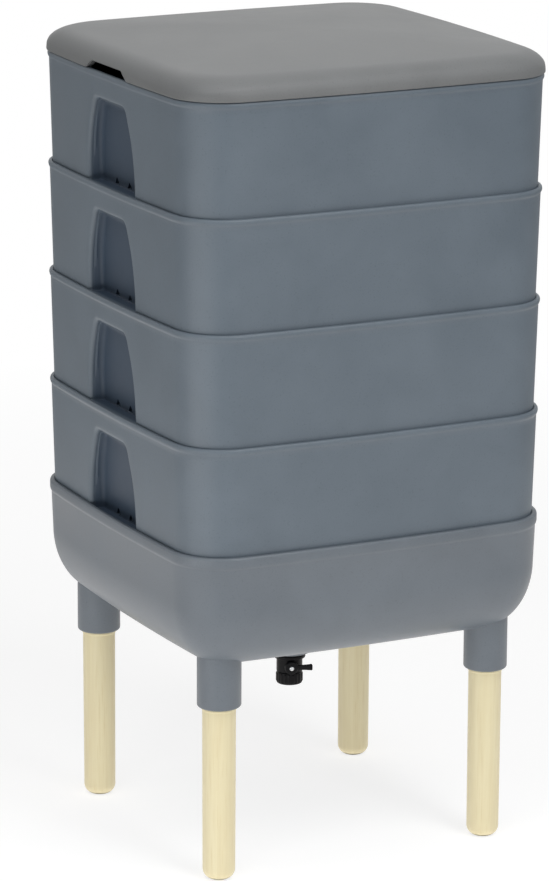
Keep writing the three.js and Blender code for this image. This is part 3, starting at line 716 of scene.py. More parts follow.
def tray_rings():
    """The rings of a tray, from the middle of its underside to the middle of its floor."""
    foot = tray_offset(0) - FOOT_RADIUS
    rings = plan_rings(arc((foot, FOOT_RADIUS), FOOT_RADIUS, -90, 0, 5))
    rings += [plan_ring(tray_offset(h), h) for h in WALL_LEVELS]
    edge, fillet = SHELF_EDGE, SHELF_FILLET
    for height, most, less in (
        (SHELF - edge, 0, math.inf), (SHELF - EASE * edge, EASE * edge, math.inf), (SHELF, edge, math.inf),
        (SHELF + HAIR, edge, fillet), (SHELF + EASE * fillet, edge, EASE * fillet),
    ):
        rings.append(grip_row(OUTER_GRID, 0, 0, height, most, less))
    rings += [grip_row(OUTER_GRID, row) for row in range(GRIP_ROWS + 1)]
    bead = [(tray_offset(TRAY_HEIGHT - BEAD_DROP), TRAY_HEIGHT - BEAD_DROP)]
    bead += [(offset, TRAY_HEIGHT - drop) for offset, drop in TRAY_BEAD]
    bead += arc(*TRAY_BEAD_OUT, 10, 90, 8) + arc(*TRAY_BEAD_IN, 90, 180, 4)
    rings += plan_rings(bead)
    rings += [grip_row(INNER_GRID, row, TRAY_WALL) for row in range(GRIP_ROWS, -1, -1)]
    under = SHELF - TRAY_WALL
    rings.append(grip_row(INNER_GRID, 0, TRAY_WALL, under, TRAY_WALL + UNDER_EASE[0]))
    rings.append(grip_row(INNER_GRID, 0, TRAY_WALL, under - UNDER_EASE[1], TRAY_WALL))
    rings.append(plan_ring(tray_offset(INNER_LEVEL) - TRAY_WALL, INNER_LEVEL))
    return rings + plan_rings(arc((foot - TRAY_WALL, TRAY_WALL + FOOT_RADIUS), FOOT_RADIUS, 0, -90, 5))


tray_bm = sweep(GRIP_PLAN, tray_rings())
print("tray before its holes:", len(tray_bm.verts), "vertices")

# %% [markdown]
# Two pointed vents pierce the back of each grip just above the shelf, and the floor has rows of
# slots with rounded ends, through which the worms climb and the liquid drains. Such holes are
# clean cuts, so here a Boolean is right. All the cutters are one mesh, and it cuts once.

# %% Vents and floor slots
VENT_SPACING = 28
VENT_WIDTH = 10
VENT_HEIGHT = 6
VENT_RISE = 1.5
VENT_TIP = 0.7
VENT_REACH = (180, 20)
SLOT_COLUMNS = 4
SLOT_ROWS = 6
SLOT_LENGTH = 52
SLOT_WIDTH = 6
SLOT_FIELD = (310, 320)

# How far a cutter reaches past what it cuts.
PAST = 5


def add_prism(bm, outline, direction):
    """Adds the body that an outline of points sweeps along a direction, all in millimetres."""
    corners = [bmesh.ops.create_vert(bm, co=Vector(point) * MM)["vert"][0] for point in outline]
    face = bmesh.ops.contextual_create(bm, geom=corners)["faces"]
    grown = bmesh.ops.extrude_face_region(bm, geom=face, use_keep_orig=True)["geom"]
    moved = [item for item in grown if isinstance(item, bmesh.types.BMVert)]
    bmesh.ops.translate(bm, verts=moved, vec=Vector(direction) * MM)


def tray_holes():
    """The cutters of the vents and the slots, as one mesh."""
    bm = bmesh.new()
    foot, tip = SHELF + VENT_RISE, SHELF + VENT_RISE + VENT_HEIGHT
    start, reach = VENT_REACH
    for side in (-1, 1):
        for y in (-VENT_SPACING / 2, VENT_SPACING / 2):
            outline = [(y - VENT_WIDTH / 2, foot), (y + VENT_WIDTH / 2, foot)]
            outline += [(y + VENT_TIP, tip), (y - VENT_TIP, tip)]
            add_prism(bm, [(side * start, *point) for point in outline], (-side * reach, 0, 0))
    pitch_x, pitch_y = SLOT_FIELD[0] / SLOT_COLUMNS, SLOT_FIELD[1] / SLOT_ROWS
    radius = SLOT_WIDTH / 2
    ends = arc((SLOT_LENGTH / 2 - radius, 0), radius, -90, 90, 8)
    ends += arc((radius - SLOT_LENGTH / 2, 0), radius, 90, 270, 8)
    for column in range(SLOT_COLUMNS):
        for row in range(SLOT_ROWS):
            x, y = (column - (SLOT_COLUMNS - 1) / 2) * pitch_x, (row - (SLOT_ROWS - 1) / 2) * pitch_y
            add_prism(bm, [(x + px, y + py, -PAST) for px, py in ends], (0, 0, PAST + TRAY_WALL + PAST))
    bmesh.ops.recalc_face_normals(bm, faces=bm.faces)
    return bm


tray_bm = boolean(tray_bm, tray_holes())
for number in (1, 2, 3, 4):
    node = f"tray_{number}"
    copy = tray_bm.copy()
    bmesh.ops.translate(copy, verts=copy.verts, vec=(0, 0, low_z(node) * MM))
    piece(copy, node)
tray_bm.free()

# %% [markdown]
# ## The lid
# The lid is one shell: a low skirt that hangs just outside the top rim, a generous roll and a
# slightly crowned top that sheds rain. A thin lip under it drops into the mouth of the top tray
# and keeps the lid in the middle. On the way up the roll the corners of the outline tighten a
# little, and the crown's rings are the roll's last ring, shrunk towards the middle, so the lid
# falls away softly at its corners.

# %% The lid's shell
LID_ROLL = (26, 17)
LID_ROLL_ANGLE = 80
LID_SKIRT_OFFSET = 4.9
LID_SKIRT_HEIGHT = 5
LID_SKIRT_DRAFT = 0.3
LID_CROWN_RISE = 10
LID_TIGHTEN = 0.4
LID_LIP = (-0.1, -2.5)
LID_LIP_DEPTH = 8
LID_LIP_CORNERS = ((0, 0.6), (0.5, 0)), ((-0.6, 0), (0, 0.8))
LID_EDGE = 1.1
LID_INNER_EDGE = 0.5
LID_ROLL_CENTRE = LID_SKIRT_OFFSET - LID_ROLL[0]
SKIRT_TOP = LID_SEAT + LID_SKIRT_HEIGHT
CROWN_SHARES = (0.02, 0.06, 0.12, 0.2, 0.3, 0.42, 0.55, 0.7, 0.84, 0.94)


def roll(wall, start, end, steps):
    """Rings round the lid's roll between two angles, on its outside or one wall in."""
    radii = (LID_ROLL[0] - wall, LID_ROLL[1] - wall)
    points = arc((LID_ROLL_CENTRE, SKIRT_TOP), radii, start, end, steps)
    return [steady_ring(LID_SKIRT_OFFSET - wall, *point, LID_TIGHTEN) for point in points]


def crown(wall, shares):
    """Rings of the crown from the end of the roll towards the middle."""
    angle = math.radians(LID_ROLL_ANGLE)
    offset = LID_ROLL_CENTRE + (LID_ROLL[0] - wall) * math.cos(angle)
    level = SKIRT_TOP + (LID_ROLL[1] - wall) * math.sin(angle)
    base = LID_SKIRT_OFFSET - wall
    heights = [level + LID_CROWN_RISE * (1 - (1 - s) ** 2) for s in shares]
    return [steady_ring(base, offset, h, LID_TIGHTEN, 1 - s) for s, h in zip(shares, heights)]


def lid_rings():
    """The rings of the lid, from the middle of its underside to the middle of its top."""
    lip_out, lip_in = LID_LIP
    foot = LID_SEAT - LID_LIP_DEPTH
    skirt_in = LID_SKIRT_OFFSET - LID_WALL

    def angle_at(offset):
        return math.degrees(math.acos((offset - LID_ROLL_CENTRE) / (LID_ROLL[0] - LID_WALL)))

    rings = crown(LID_WALL, CROWN_SHARES[::-1]) + roll(LID_WALL, LID_ROLL_ANGLE, angle_at(lip_in), 6)
    for lip, corner in zip((lip_in, lip_out), LID_LIP_CORNERS):
        rings += plan_rings([(lip + offset, foot + rise) for offset, rise in corner])
    rings += roll(LID_WALL, angle_at(lip_out), 0, 4)
    rings += plan_rings([(skirt_in, LID_SEAT + LID_INNER_EDGE), (skirt_in + LID_INNER_EDGE, LID_SEAT)])
    edge = (LID_SKIRT_OFFSET + LID_SKIRT_DRAFT - LID_EDGE, LID_SEAT + LID_EDGE)
    rings += plan_rings(arc(edge, LID_EDGE, -90, 0, 4))
    return rings + roll(0, 0, LID_ROLL_ANGLE, 18) + crown(0, CROWN_SHARES)


lid_bm = sweep(PLAIN_PLAN, lid_rings())
print("lid:", len(lid_bm.verts), "vertices")

# %% [markdown]
# A shallow notch in the skirt above each grip lets the fingertips under the lid. One prism that
# reaches across the whole lid cuts both, and its outline has the sloping ends and the rounded
# upper corners that the moulding has.

# %% The finger notches
NOTCH_FOOT = 92
NOTCH_HEAD = 66
NOTCH_HEIGHT = 8.5
NOTCH_CORNER = 4
NOTCH_REACH = 230
NOTCH_RUN_OUT = 0.5


def notch_cutter():
    """One prism across both sides, with sloping ends and rounded upper corners."""
    half_foot, half_head = NOTCH_FOOT / 2, NOTCH_HEAD / 2
    top = LID_SEAT + NOTCH_HEIGHT
    slope = (half_foot - half_head) / NOTCH_HEIGHT
    lean = math.degrees(math.atan(slope))
    shift = NOTCH_CORNER * math.tan(math.radians((90 - lean) / 2))
    right_end = arc((half_head - shift, top - NOTCH_CORNER), NOTCH_CORNER, lean, 90, 6)
    start = half_foot + slope * NOTCH_RUN_OUT
    outline = [(start, LID_SEAT - LID_LIP_DEPTH - PAST), (start, LID_SEAT - NOTCH_RUN_OUT)] + right_end
    outline += [(-y, z) for y, z in reversed(outline)]
    bm = bmesh.new()
    add_prism(bm, [(-NOTCH_REACH, y, z) for y, z in outline], (2 * NOTCH_REACH, 0, 0))
    bmesh.ops.recalc_face_normals(bm, faces=bm.faces)
    return bm


lid_bm = boolean(lid_bm, notch_cutter())
piece(lid_bm, "lid")

# %% [markdown]
# ## The basin
# The collector base is a deep basin with a big rounded foot. Its floor falls gently to a sump,
# where the tap is screwed in, and four round sockets stand under its corners. The outside and
# the room inside are two sweeps: the sockets are joined to the first, then the second and the
# bores are cut out, in the order in which one would think of the moulding.

# %% The basin
BASIN_DEPTH = 115
BASIN_NEST = 26.9
FOOT_WIDTH = 52
FOOT_HEIGHT = 65
WALL_LEAN = 1.4
LEDGE_WIDTH = 9
LEDGE_HEIGHT = 4
SUMP_DROP = 43
SUMP_RADIUS = 22
SUMP_MOUTH = 26
SUMP_LAND = 12
LAND_DROP = 23
SUMP_EDGE = 3
SUMP_INNER_EDGE = 1
BORE_RADIUS = 9.2
SOCKET_RADIUS = 20.8
SOCKET_DROP = 39.4
SOCKET_DEPTH = 36
SOCKET_EDGE = 2.2
LEG_RADIUS = 15.8
LEG_FOOT_DRAFT = 0.4
LEG_INSET = (46.7, 46.1)
LEG_X = PLAN_WIDTH / 2 - LEG_INSET[0]
LEG_Y = PLAN_DEPTH / 2 - LEG_INSET[1]
UNDERSIDE = BASE_TOP - BASIN_DEPTH
SUMP_FOOT = UNDERSIDE - SUMP_DROP
LAND = UNDERSIDE - LAND_DROP
SOCKET_FOOT = UNDERSIDE - SOCKET_DROP
BASIN_RIM = tray_offset(BASIN_NEST) + GAP + BASE_WALL
FOOT_STEPS = 20
SLOPE_STEPS = 6

# The foot of the rim's bead as (offset from the wall, depth below the top), its arc, the inner
# edge of the rim in the same way, and the edge of the sump's mouth as (offset, depth) from it.
BASIN_BEAD = ((0, 12.4), (0.25, 11.4), (0.75, 10.6), (1.15, 9.8), (1.36, 8.6), (1.4, 7))
BASIN_BEAD_OUT = ((BASIN_RIM - 0.5, BASE_TOP - 2.6), (1.9, 2.6))
BASIN_INNER_EDGE = ((0, 0.8), (0.25, 0.25), (0.8, -0.02), (0.8, -6))
MOUTH_EDGE = ((-0.5, 2), (0.6, 0.6), (2, 0))
LEG_PLACES = {
    "front_left": (-LEG_X, -LEG_Y),
    "front_right": (LEG_X, -LEG_Y),
    "rear_left": (-LEG_X, LEG_Y),
    "rear_right": (LEG_X, LEG_Y),
}


def foot_rings(growth):
    """The rounded foot, from the underside up to the wall, or its inside when grown by the wall."""
    centre = (BASIN_RIM - WALL_LEAN - FOOT_WIDTH, UNDERSIDE + FOOT_HEIGHT)
    return plan_rings(arc(centre, (FOOT_WIDTH - growth, FOOT_HEIGHT - growth), -90, 0, FOOT_STEPS))


def land_and_foot(growth):
    """The round land of the sump, the floor that rises from it, and the rounded foot."""
    land = round_ring(SUMP_MOUTH + SUMP_LAND - growth, LAND + growth)
    foot = foot_rings(growth)
    return [land] + [between(land, foot[0], i / SLOPE_STEPS) for i in range(1, SLOPE_STEPS)] + foot


def basin_outside():
    """The solid outside of the basin."""
    edge = arc((SUMP_RADIUS - SUMP_EDGE, SUMP_FOOT + SUMP_EDGE), SUMP_EDGE, -90, 0, 5)
    edge += [(SUMP_MOUTH + offset, LAND - drop) for offset, drop in MOUTH_EDGE]
    bead = [(BASIN_RIM + offset, BASE_TOP - drop) for offset, drop in BASIN_BEAD]
    bead += arc(*BASIN_BEAD_OUT, 0, 90, 8)
    return sweep(PLAIN_PLAN, [round_ring(*point) for point in edge] + land_and_foot(0) + plan_rings(bead))


def basin_inside():
    """The room inside the basin, with a ledge all round for the foot of the lowest tray."""
    ledge = BASE_TOP - BASIN_NEST - GAP
    inner = BASIN_RIM - BASE_WALL
    sump, sump_floor = SUMP_RADIUS - BASE_WALL, SUMP_FOOT + BASE_WALL
    mouth = [(sump - SUMP_INNER_EDGE, sump_floor), (sump, sump_floor + SUMP_INNER_EDGE)]
    mouth += [(SUMP_MOUTH - BASE_WALL, LAND + BASE_WALL)]
    wall = [(inner, ledge - LEDGE_HEIGHT - LEDGE_WIDTH), (inner - LEDGE_WIDTH, ledge - LEDGE_HEIGHT)]
    wall += [(inner - LEDGE_WIDTH, ledge), (inner, ledge)]
    wall += [(inner + offset, BASE_TOP - drop) for offset, drop in BASIN_INNER_EDGE]
    rings = [round_ring(*point) for point in mouth] + land_and_foot(BASE_WALL)
    return sweep(PLAIN_PLAN, rings + plan_rings(wall))


def turned(profile, steps, centre=(0, 0)):
    """A body turned about an upright axis from (radius, height) points that start and end on it."""
    bm = bmesh.new()
    cx, cy = centre
    points = [Vector((cx + radius, cy, height)) * MM for radius, height in profile]
    verts = bmesh.ops.create_vert(bm, co=points[0])["vert"]
    for point in points[1:]:
        grown = bmesh.ops.extrude_vert_indiv(bm, verts=[verts[-1]])["verts"]
        grown[0].co = point
        verts = list(verts) + grown
    bmesh.ops.spin(bm, geom=list(bm.verts) + list(bm.edges), axis=(0, 0, 1), cent=Vector((cx, cy, 0)) * MM,
                   angle=2 * math.pi, steps=steps, use_merge=True, use_duplicate=False)
    bmesh.ops.remove_doubles(bm, verts=bm.verts, dist=FINE_WELD)
    bmesh.ops.recalc_face_normals(bm, faces=bm.faces)
    return bm


def rod(radius, low, high, steps, centre=(0, 0)):
    """A plain round rod between two heights, as a cutter."""
    return turned([(0, low), (radius, low), (radius, high), (0, high)], steps, centre)


def merge_into(bm, other):
    """Adds another bmesh to a bmesh and frees it."""
    mesh = bpy.data.meshes.new("part")
    other.to_mesh(mesh)
    other.free()
    bm.from_mesh(mesh)
    bpy.data.meshes.remove(mesh)


sockets, bores = bmesh.new(), bmesh.new()
lip = arc((SOCKET_RADIUS - SOCKET_EDGE, SOCKET_FOOT + SOCKET_EDGE), SOCKET_EDGE, -90, 0, 5)
top = UNDERSIDE + FOOT_HEIGHT / 2
for spot in LEG_PLACES.values():
    merge_into(sockets, turned([(0, SOCKET_FOOT)] + lip + [(SOCKET_RADIUS, top), (0, top)], 64, spot))
    merge_into(bores, rod(LEG_RADIUS + GAP, SOCKET_FOOT - PAST, SOCKET_FOOT + SOCKET_DEPTH, 48, spot))
merge_into(bores, rod(BORE_RADIUS, SUMP_FOOT - PAST, SUMP_FOOT + 2 * PAST, 48))
base_bm = boolean(basin_outside(), sockets, "UNION")
print("base after union:", len(base_bm.verts))
base_bm = boolean(boolean(base_bm, basin_inside()), bores)
print("base after its room and bores:", len(base_bm.verts))
piece(base_bm, "collector_base", 30)

# %% [markdown]
# ## The legs
# Each leg is a dowel turned on a lathe: the lower end is well rounded, and a low ring is left
# standing just under the socket, which stops the leg when it is pushed home.

# %% The legs
LEG_REACH = SOCKET_FOOT - GAP
LEG_END = 10
COLLAR_HEIGHT = 3
COLLAR_PROUD = 1
PEG_CHAMFER = 2


def leg_profile():
    """The outline of a leg, from the floor to the end of its peg."""
    peg_top = SOCKET_FOOT + SOCKET_DEPTH - GAP
    foot = LEG_RADIUS - LEG_FOOT_DRAFT
    profile = [(0, 0)] + arc((foot - LEG_END, LEG_END), LEG_END, -90, 0, 12)
    shank = LEG_REACH - COLLAR_HEIGHT - LEG_END
    profile += [(foot + LEG_FOOT_DRAFT * i / 4, LEG_END + shank * i / 4) for i in range(1, 5)]
    profile += arc((LEG_RADIUS, LEG_REACH - COLLAR_HEIGHT / 2), (COLLAR_PROUD, COLLAR_HEIGHT / 2), -80, 80, 8)
    profile += [(LEG_RADIUS, LEG_REACH), (LEG_RADIUS, peg_top - PEG_CHAMFER)]
    return profile + [(LEG_RADIUS - PEG_CHAMFER, peg_top), (0, peg_top)]


for corner, spot in LEG_PLACES.items():
    piece(turned(leg_profile(), 64, spot), "leg_" + corner, 50)

# %% [markdown]
# ## The tap
# A small black lever tap, as sold for water butts, is screwed up through the floor of the sump.
# Its body is turned, a ribbed ring hides the outlet's thread, and a plug with a lever crosses
# the body. The plug's parts are made upright about the origin and then laid along its axis.

# %% The tap's body and collar
TAP_TURN = -19
PASSAGE = 4
TAP_BODY = 12.6
TAP_BODY_HEIGHT = 14
TAP_FLANGE = 15.5
FLANGE_THICKNESS = 3.2
FLANGE_EDGES = (0.7, 0.4)
SPIGOT = 10.5
SPIGOT_EDGE = 0.5
BODY_EDGE = 0.6
STEM = 8.9
PLUG_RISE = 7
PLUG_BORE = 5.55
BORE_END = 3 - TAP_BODY
BORE_REACH = TAP_BODY + 6
COLLAR_OUT = 13.1
COLLAR_RIBS = 20
RIB_DEPTH = 0.8
RIB_START = 1.7

# The collar's bevelled end as (offset from the ribs' root, height), and one turn of the stem's
# thread, drawn as a plain groove, as (depth, height above its start).
COLLAR_BEVEL = ((-0.5, 0), (0, 0.4), (0, 1.1))
THREAD_PITCH = 2
THREAD = ((0, 0), (0.7, 0.8), (0.7, 1.1), (0, 1.8))

# The heights of the tap's parts.
OUTLET = low_z("tap_body")
BODY_FOOT = high_z("tap_outlet_collar") + GAP
BODY_TOP = BODY_FOOT + TAP_BODY_HEIGHT
FLANGE_TOP = BODY_TOP + FLANGE_THICKNESS
STEM_TOP = high_z("tap_body")
PLUG_AXIS = BODY_FOOT + PLUG_RISE


def tap_body():
    """The body: outlet spigot, barrel, flange and threaded stem round a straight passage."""
    lower, upper = FLANGE_EDGES
    profile = [(PASSAGE, OUTLET), (SPIGOT - SPIGOT_EDGE, OUTLET), (SPIGOT, OUTLET + SPIGOT_EDGE)]
    profile += [(SPIGOT, BODY_FOOT), (TAP_BODY - BODY_EDGE, BODY_FOOT), (TAP_BODY, BODY_FOOT + BODY_EDGE)]
    profile += [(TAP_BODY, BODY_TOP - SPIGOT_EDGE), (TAP_BODY + SPIGOT_EDGE, BODY_TOP)]
    profile += arc((TAP_FLANGE - lower, BODY_TOP + lower), lower, -90, 0, 3)
    profile += arc((TAP_FLANGE - upper, FLANGE_TOP - upper), upper, 0, 90, 3)
    profile += [(STEM, FLANGE_TOP)]
    for i in range(int((STEM_TOP - FLANGE_TOP - THREAD_PITCH) / THREAD_PITCH)):
        level = FLANGE_TOP + THREAD_PITCH / 2 + THREAD_PITCH * i
        profile += [(STEM - depth, level + rise) for depth, rise in THREAD]
    profile += [(STEM, STEM_TOP - BODY_EDGE), (STEM - BODY_EDGE, STEM_TOP)]
    profile += [(PASSAGE, STEM_TOP), (PASSAGE, OUTLET)]
    return turned(profile, 64)


def ribbed(radius, depth, height):
    """A ring whose radius waves in and out, like the ribs of a collar."""

    def place(angle):
        reach = radius - depth * (0.5 + 0.5 * math.cos(COLLAR_RIBS * angle))
        return reach * math.cos(angle), reach * math.sin(angle), height

    return place


def tap_collar():
    """The ribbed ring, with a plain bevelled edge at each end."""
    low, high = low_z("tap_outlet_collar"), high_z("tap_outlet_collar")
    hole, root = SPIGOT + GAP, COLLAR_OUT - RIB_DEPTH
    end = [(hole, 0, 0)] + [(root + offset, 0, rise) for offset, rise in COLLAR_BEVEL]
    end += [(COLLAR_OUT, RIB_DEPTH, RIB_START)]
    rings = [ribbed(radius, depth, low + rise) for radius, depth, rise in end]
    rings += [ribbed(radius, depth, high - rise) for radius, depth, rise in reversed(end)]
    steps = COLLAR_RIBS * 8
    return sweep([2 * math.pi * i / steps for i in range(steps)], rings, joined=True)


def along_plug(bm):
    """Lays a bmesh that was turned about Z along the plug's axis."""
    matrix = Matrix.Translation((0, 0, PLUG_AXIS * MM)) @ Matrix.Rotation(math.radians(TAP_TURN), 4, "Z")
    bmesh.ops.transform(bm, matrix=matrix @ Matrix.Rotation(math.pi / 2, 4, "X"), verts=bm.verts)
    return bm


# The bore for the plug stops short of the far side of the body and is open in front.
plug_hole = along_plug(rod(PLUG_BORE, BORE_END, BORE_REACH, 48))
piece(boolean(tap_body(), plug_hole), "tap_body")
piece(tap_collar(), "tap_outlet_collar")

# %% [markdown]
# The lever is a flat paddle that flares towards its tip. Its hub covers the front of the plug,
# and a small slotted screw holds the two together. The paddle is drawn as an outline, extruded
# and bevelled, and then joined to the turned plug.

# %% The lever and its screw
PLUG = 5.4
PLUG_FRONT = TAP_BODY + 0.4
PLUG_BACK = BORE_END + GAP
GROOVE_INSET = 3.2
GROOVE_HALF = 1.1
GROOVE_DEPTH = 1.8
HUB = 6.4
HUB_THICKNESS = 4.6
HUB_EDGE = 1
HUB_FRONT = PLUG_FRONT + HUB_THICKNESS
LEVER_LENGTH = 20.5
TIP_BULGE = 0.001
PADDLE_NECK = 2.3
PADDLE_EDGE = ((12, 2.3), (7, 2.45), (3, 2.8), (0.8, 3.1), (0, 2.2))
PADDLE_BACK = PLUG_FRONT + 0.8
PADDLE_THICKNESS = 3
PADDLE_BEVEL = 0.5
SCREW_SHANK = 1.4
SCREW_LENGTH = 7
SCREW_HOLE = 1.5
SCREW_HEAD = 2.2
SCREW_RIM = 0.5
SCREW_DOME = 1.1
SCREW_SEAT = HUB_FRONT + GAP
SCREW_TOP = SCREW_SEAT + SCREW_RIM + SCREW_DOME
SCREW_SLOT = (9, 0.8, 1.4)


def tap_lever():
    """The plug with grooves for its two seal rings, its hub and the flared paddle."""
    profile = [(0, PLUG_BACK), (PLUG, PLUG_BACK)]
    root = PLUG - GROOVE_DEPTH
    for place in (GROOVE_INSET + BORE_END, TAP_BODY - GROOVE_INSET):
        low, high = place - GROOVE_HALF, place + GROOVE_HALF
        profile += [(PLUG, low), (root, low), (root, high), (PLUG, high)]
    profile += [(PLUG, PLUG_FRONT), (HUB, PLUG_FRONT)]
    profile += arc((HUB - HUB_EDGE, HUB_FRONT - HUB_EDGE), HUB_EDGE, 0, 90, 5) + [(0, HUB_FRONT)]
    lower_edge = [(LEVER_LENGTH - back, -half) for back, half in PADDLE_EDGE]
    upper_edge = [(x, -y) for x, y in reversed(lower_edge)]
    outline = [(0, -PADDLE_NECK)] + lower_edge + [(LEVER_LENGTH + TIP_BULGE, 0)]
    outline += upper_edge + [(0, PADDLE_NECK)]
    paddle = bmesh.new()
    add_prism(paddle, [(x, y, PADDLE_BACK) for x, y in outline], (0, 0, PADDLE_THICKNESS))
    bmesh.ops.recalc_face_normals(paddle, faces=paddle.faces)
    bmesh.ops.bevel(paddle, geom=list(paddle.edges), offset=PADDLE_BEVEL * MM, offset_type="OFFSET",
                    segments=3, profile=0.5, affect="EDGES", material=-1, clamp_overlap=True)
    hole = rod(SCREW_HOLE, HUB_FRONT - SCREW_LENGTH - GAP, HUB_FRONT + PAST, 24)
    return along_plug(boolean(boolean(turned(profile, 48), paddle, "UNION"), hole))


def tap_screw():
    """A pan-head screw with a straight slot."""
    end, rim = HUB_FRONT - SCREW_LENGTH, SCREW_SEAT + SCREW_RIM
    profile = [(0, end), (SCREW_SHANK, end), (SCREW_SHANK, SCREW_SEAT), (SCREW_HEAD, SCREW_SEAT)]
    profile += arc((SCREW_HEAD - SCREW_DOME, rim), SCREW_DOME, 0, 90, 5) + [(0, SCREW_TOP)]
    slot = bmesh.new()
    size = Matrix.Diagonal((*[side * MM for side in SCREW_SLOT], 1))
    bmesh.ops.create_cube(slot, size=1, matrix=Matrix.Translation((0, 0, SCREW_TOP * MM)) @ size)
    return along_plug(boolean(turned(profile, 32), slot))


piece(tap_lever(), "tap_lever")
piece(tap_screw(), "tap_screw")

# %% [markdown]
# ## The strainer and the sealed parts
# A slotted cap stands over the sump and keeps castings out of the tap. It shows when the trays
# are off. The nut, the gaskets and the seal rings are hidden for good, so they keep the packed
# shapes, and only their material is replaced.

# %% The strainer
STRAINER_RADIUS = 34
STRAINER_WALL = 1.6
STRAINER_TOP = 22
STRAINER_SLOTS = 10
STRAINER_SLOT_WIDTH = 3
STRAINER_FOOT = 3

# The brim's edge as (offset inwards, height), and the outer corner as (offset from the top's
# radius, depth below the top).
STRAINER_BRIM = ((0, 0), (0, 1.2), (0.4, STRAINER_WALL))
STRAINER_CORNER = ((0.9, 0.7), (0.1, 0.15), (-1, 0))


def strainer():
    """A slotted cap with rounded edges."""
    foot, top = low_z("drain_strainer"), high_z("drain_strainer")
    profile = [(0, top - STRAINER_WALL), (STRAINER_TOP - STRAINER_WALL, top - STRAINER_WALL)]
    profile += [(STRAINER_RADIUS - STRAINER_FOOT, foot)]
    profile += [(STRAINER_RADIUS - inwards, foot + rise) for inwards, rise in STRAINER_BRIM]
    profile += [(STRAINER_TOP + offset, top - drop) for offset, drop in STRAINER_CORNER] + [(0, top)]
    slots = bmesh.new()
    place = Matrix.Translation((STRAINER_RADIUS * MM, 0, (foot + top) / 2 * MM))
    size = (STRAINER_RADIUS * MM, STRAINER_SLOT_WIDTH * MM, (top - foot - 4 * STRAINER_WALL) * MM, 1)
    for index in range(STRAINER_SLOTS):
        angle = Matrix.Rotation(2 * math.pi * index / STRAINER_SLOTS, 4, "Z")
        bmesh.ops.create_cube(slots, size=1, matrix=angle @ place @ Matrix.Diagonal(size))
    return boolean(turned(profile, 80), slots)


piece(strainer(), "drain_strainer")
for node in ("tap_locknut", "tap_outer_gasket", "tap_inner_gasket", "tap_seal_rear", "tap_seal_front"):
    for material_slot in frame["nodes"][node].material_slots:
        material_slot.material = FINISH[SLOT_OF[node]]

# %% [markdown]
# ## The floor
# The photograph has a white floor without a horizon. The floor is plain matt. For the camera
# alone it glows a little and fades into plain white further out, so that the lit floor reads as
# white while the object's soft shadow stays. In reflections it is a plain pale grey.

# %% The floor
FLOOR_RADIUS = 12
FLOOR_FADE = (0.9, 1.9)
FLOOR_GLOW = 0.8
FLOOR_REFLECTED = 0.4
FLOOR_TONE = "#e4e4e4"
FLOOR_SEEN_TONE = "#9c9c9c"
floor_bm = bmesh.new()
bmesh.ops.create_circle(floor_bm, cap_ends=True, radius=FLOOR_RADIUS, segments=64)
floor = as_object("floor", floor_bm)
floor_material = bpy.data.materials.new("pale_matt_floor")
floor_material.use_nodes = True
tree = floor_material.node_tree
tree.nodes.clear()
ray = add(tree, "LightPath", {}).outputs
place = add(tree, "TexCoord", {}).outputs["Object"]
reach = add(tree, "VectorMath", {0: place}, operation="LENGTH").outputs["Value"]
far = add(tree, "MapRange", {"Value": reach, "From Min": FLOOR_FADE[0], "From Max": FLOOR_FADE[1]})
plain = add(tree, "BsdfDiffuse", {"Color": linear(FLOOR_TONE)})
faint = add(tree, "BsdfDiffuse", {"Color": linear(FLOOR_SEEN_TONE)})
glow = add(tree, "Emission", {"Strength": FLOOR_GLOW})
white = add(tree, "Emission", {"Strength": 1})
reflected = add(tree, "Emission", {"Strength": FLOOR_REFLECTED})
near = add(tree, "AddShader", {0: faint, 1: glow})
seen = add(tree, "MixShader", {0: far, 1: near, 2: white})
mix = add(tree, "MixShader", {0: ray["Is Camera Ray"], 1: plain, 2: seen})
mix = add(tree, "MixShader", {0: ray["Is Glossy Ray"], 1: mix, 2: reflected})
add(tree, "OutputMaterial", {"Surface": mix})
floor.data.materials.append(floor_material)
print("floor radius in metres:", FLOOR_RADIUS)
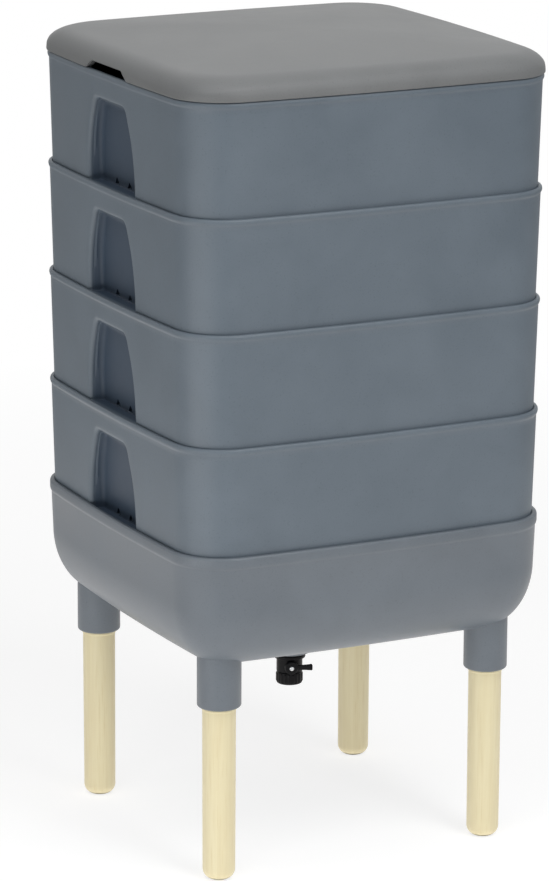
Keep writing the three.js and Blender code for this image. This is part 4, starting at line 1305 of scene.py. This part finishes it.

# %% [markdown]
# ## The lamps
# The walls are darkest at the near corner and lightest at their feet, and the front is lighter
# than the left side. So two softboxes stand in front, a little to the right, where they light the
# front wall and leave the finger grips in the left wall dark; painted shade in the trays' plastic
# darkens the grips further. Others hang over the top, the left side and the near corner. Warm
# white card on the floor throws light back up, which is one reason why the basin looks paler
# than the trays of the same plastic; the basin's copy of the plastic is also painted a touch
# paler and warmer. A low card on the left reaches the foot of the left wall. A lamp behind keeps
# the far sides readable. The world is white to the camera and a warm, slightly darker white in
# reflections.

# %% The world and the lamps
WORLD_REFLECTED = 0.83
WORLD_TINT = "#fffefd"
CARD_TINT = "#fff9f4"
AIM = (0, 0, 0.4)
world = bpy.data.worlds.new("studio")
bpy.context.scene.world = world
world.use_nodes = True
tree = world.node_tree
tree.nodes.clear()
ray = add(tree, "LightPath", {}).outputs
level = add(tree, "Math", {0: ray["Is Glossy Ray"], 1: WORLD_REFLECTED}, operation="MULTIPLY")
reflected = add(tree, "Background", {"Color": linear(WORLD_TINT), "Strength": level})
direct = add(tree, "Math", {0: ray["Is Camera Ray"], 1: ray["Is Transmission Ray"]}, operation="MAXIMUM")
white = add(tree, "Background", {"Color": linear("#ffffff")})
sky = add(tree, "MixShader", {0: direct, 1: reflected, 2: white})
add(tree, "OutputWorld", {"Surface": sky})


def studio_lamp(name, shape, place, aim, size, power, tint="#ffffff"):
    """An area lamp that faces a point and isn't seen by the camera itself."""
    lamp = bpy.data.objects.new(name, bpy.data.lights.new(name, "AREA"))
    lamp.data.shape, lamp.data.energy = shape, power
    lamp.data.color = linear(tint)[:3]
    lamp.data.size, lamp.data.size_y = size
    lamp.location = place
    lamp.rotation_euler = (Vector(aim) - Vector(place)).to_track_quat("-Z", "Y").to_euler()
    lamp.visible_camera = False
    bpy.context.scene.collection.objects.link(lamp)


studio_lamp("high_front_softbox", "SQUARE", (0.45, -1.66, 2.86), AIM, (1.2, 1.2), 28)
studio_lamp("low_front_softbox", "SQUARE", (0.4, -2.83, 1.33), AIM, (0.9, 0.9), 19)
studio_lamp("top_softbox", "SQUARE", (0, 0.1, 3.4), AIM, (2.2, 2.2), 21)
studio_lamp("left_softbox", "SQUARE", (-1.41, -0.51, 3), AIM, (1.8, 1.8), 10)
studio_lamp("near_corner_softbox", "SQUARE", (-1.25, -1.25, 2.17), AIM, (1, 1), 9)
studio_lamp("rear_softbox", "SQUARE", (0.9, 2.1, 2.3), AIM, (1.8, 1.8), 5)
studio_lamp("floor_card", "DISK", (0, 0, 0.003), (0, 0, 1), (2.4, 2.4), 11.7, CARD_TINT)
studio_lamp("left_card", "RECTANGLE", (-1.2, -0.5, 0.2), (0, 0, 0.35), (1.2, 0.35), 4)
bpy.context.scene.view_settings.view_transform = "Standard"
print("lamps:", len(bpy.data.lights))
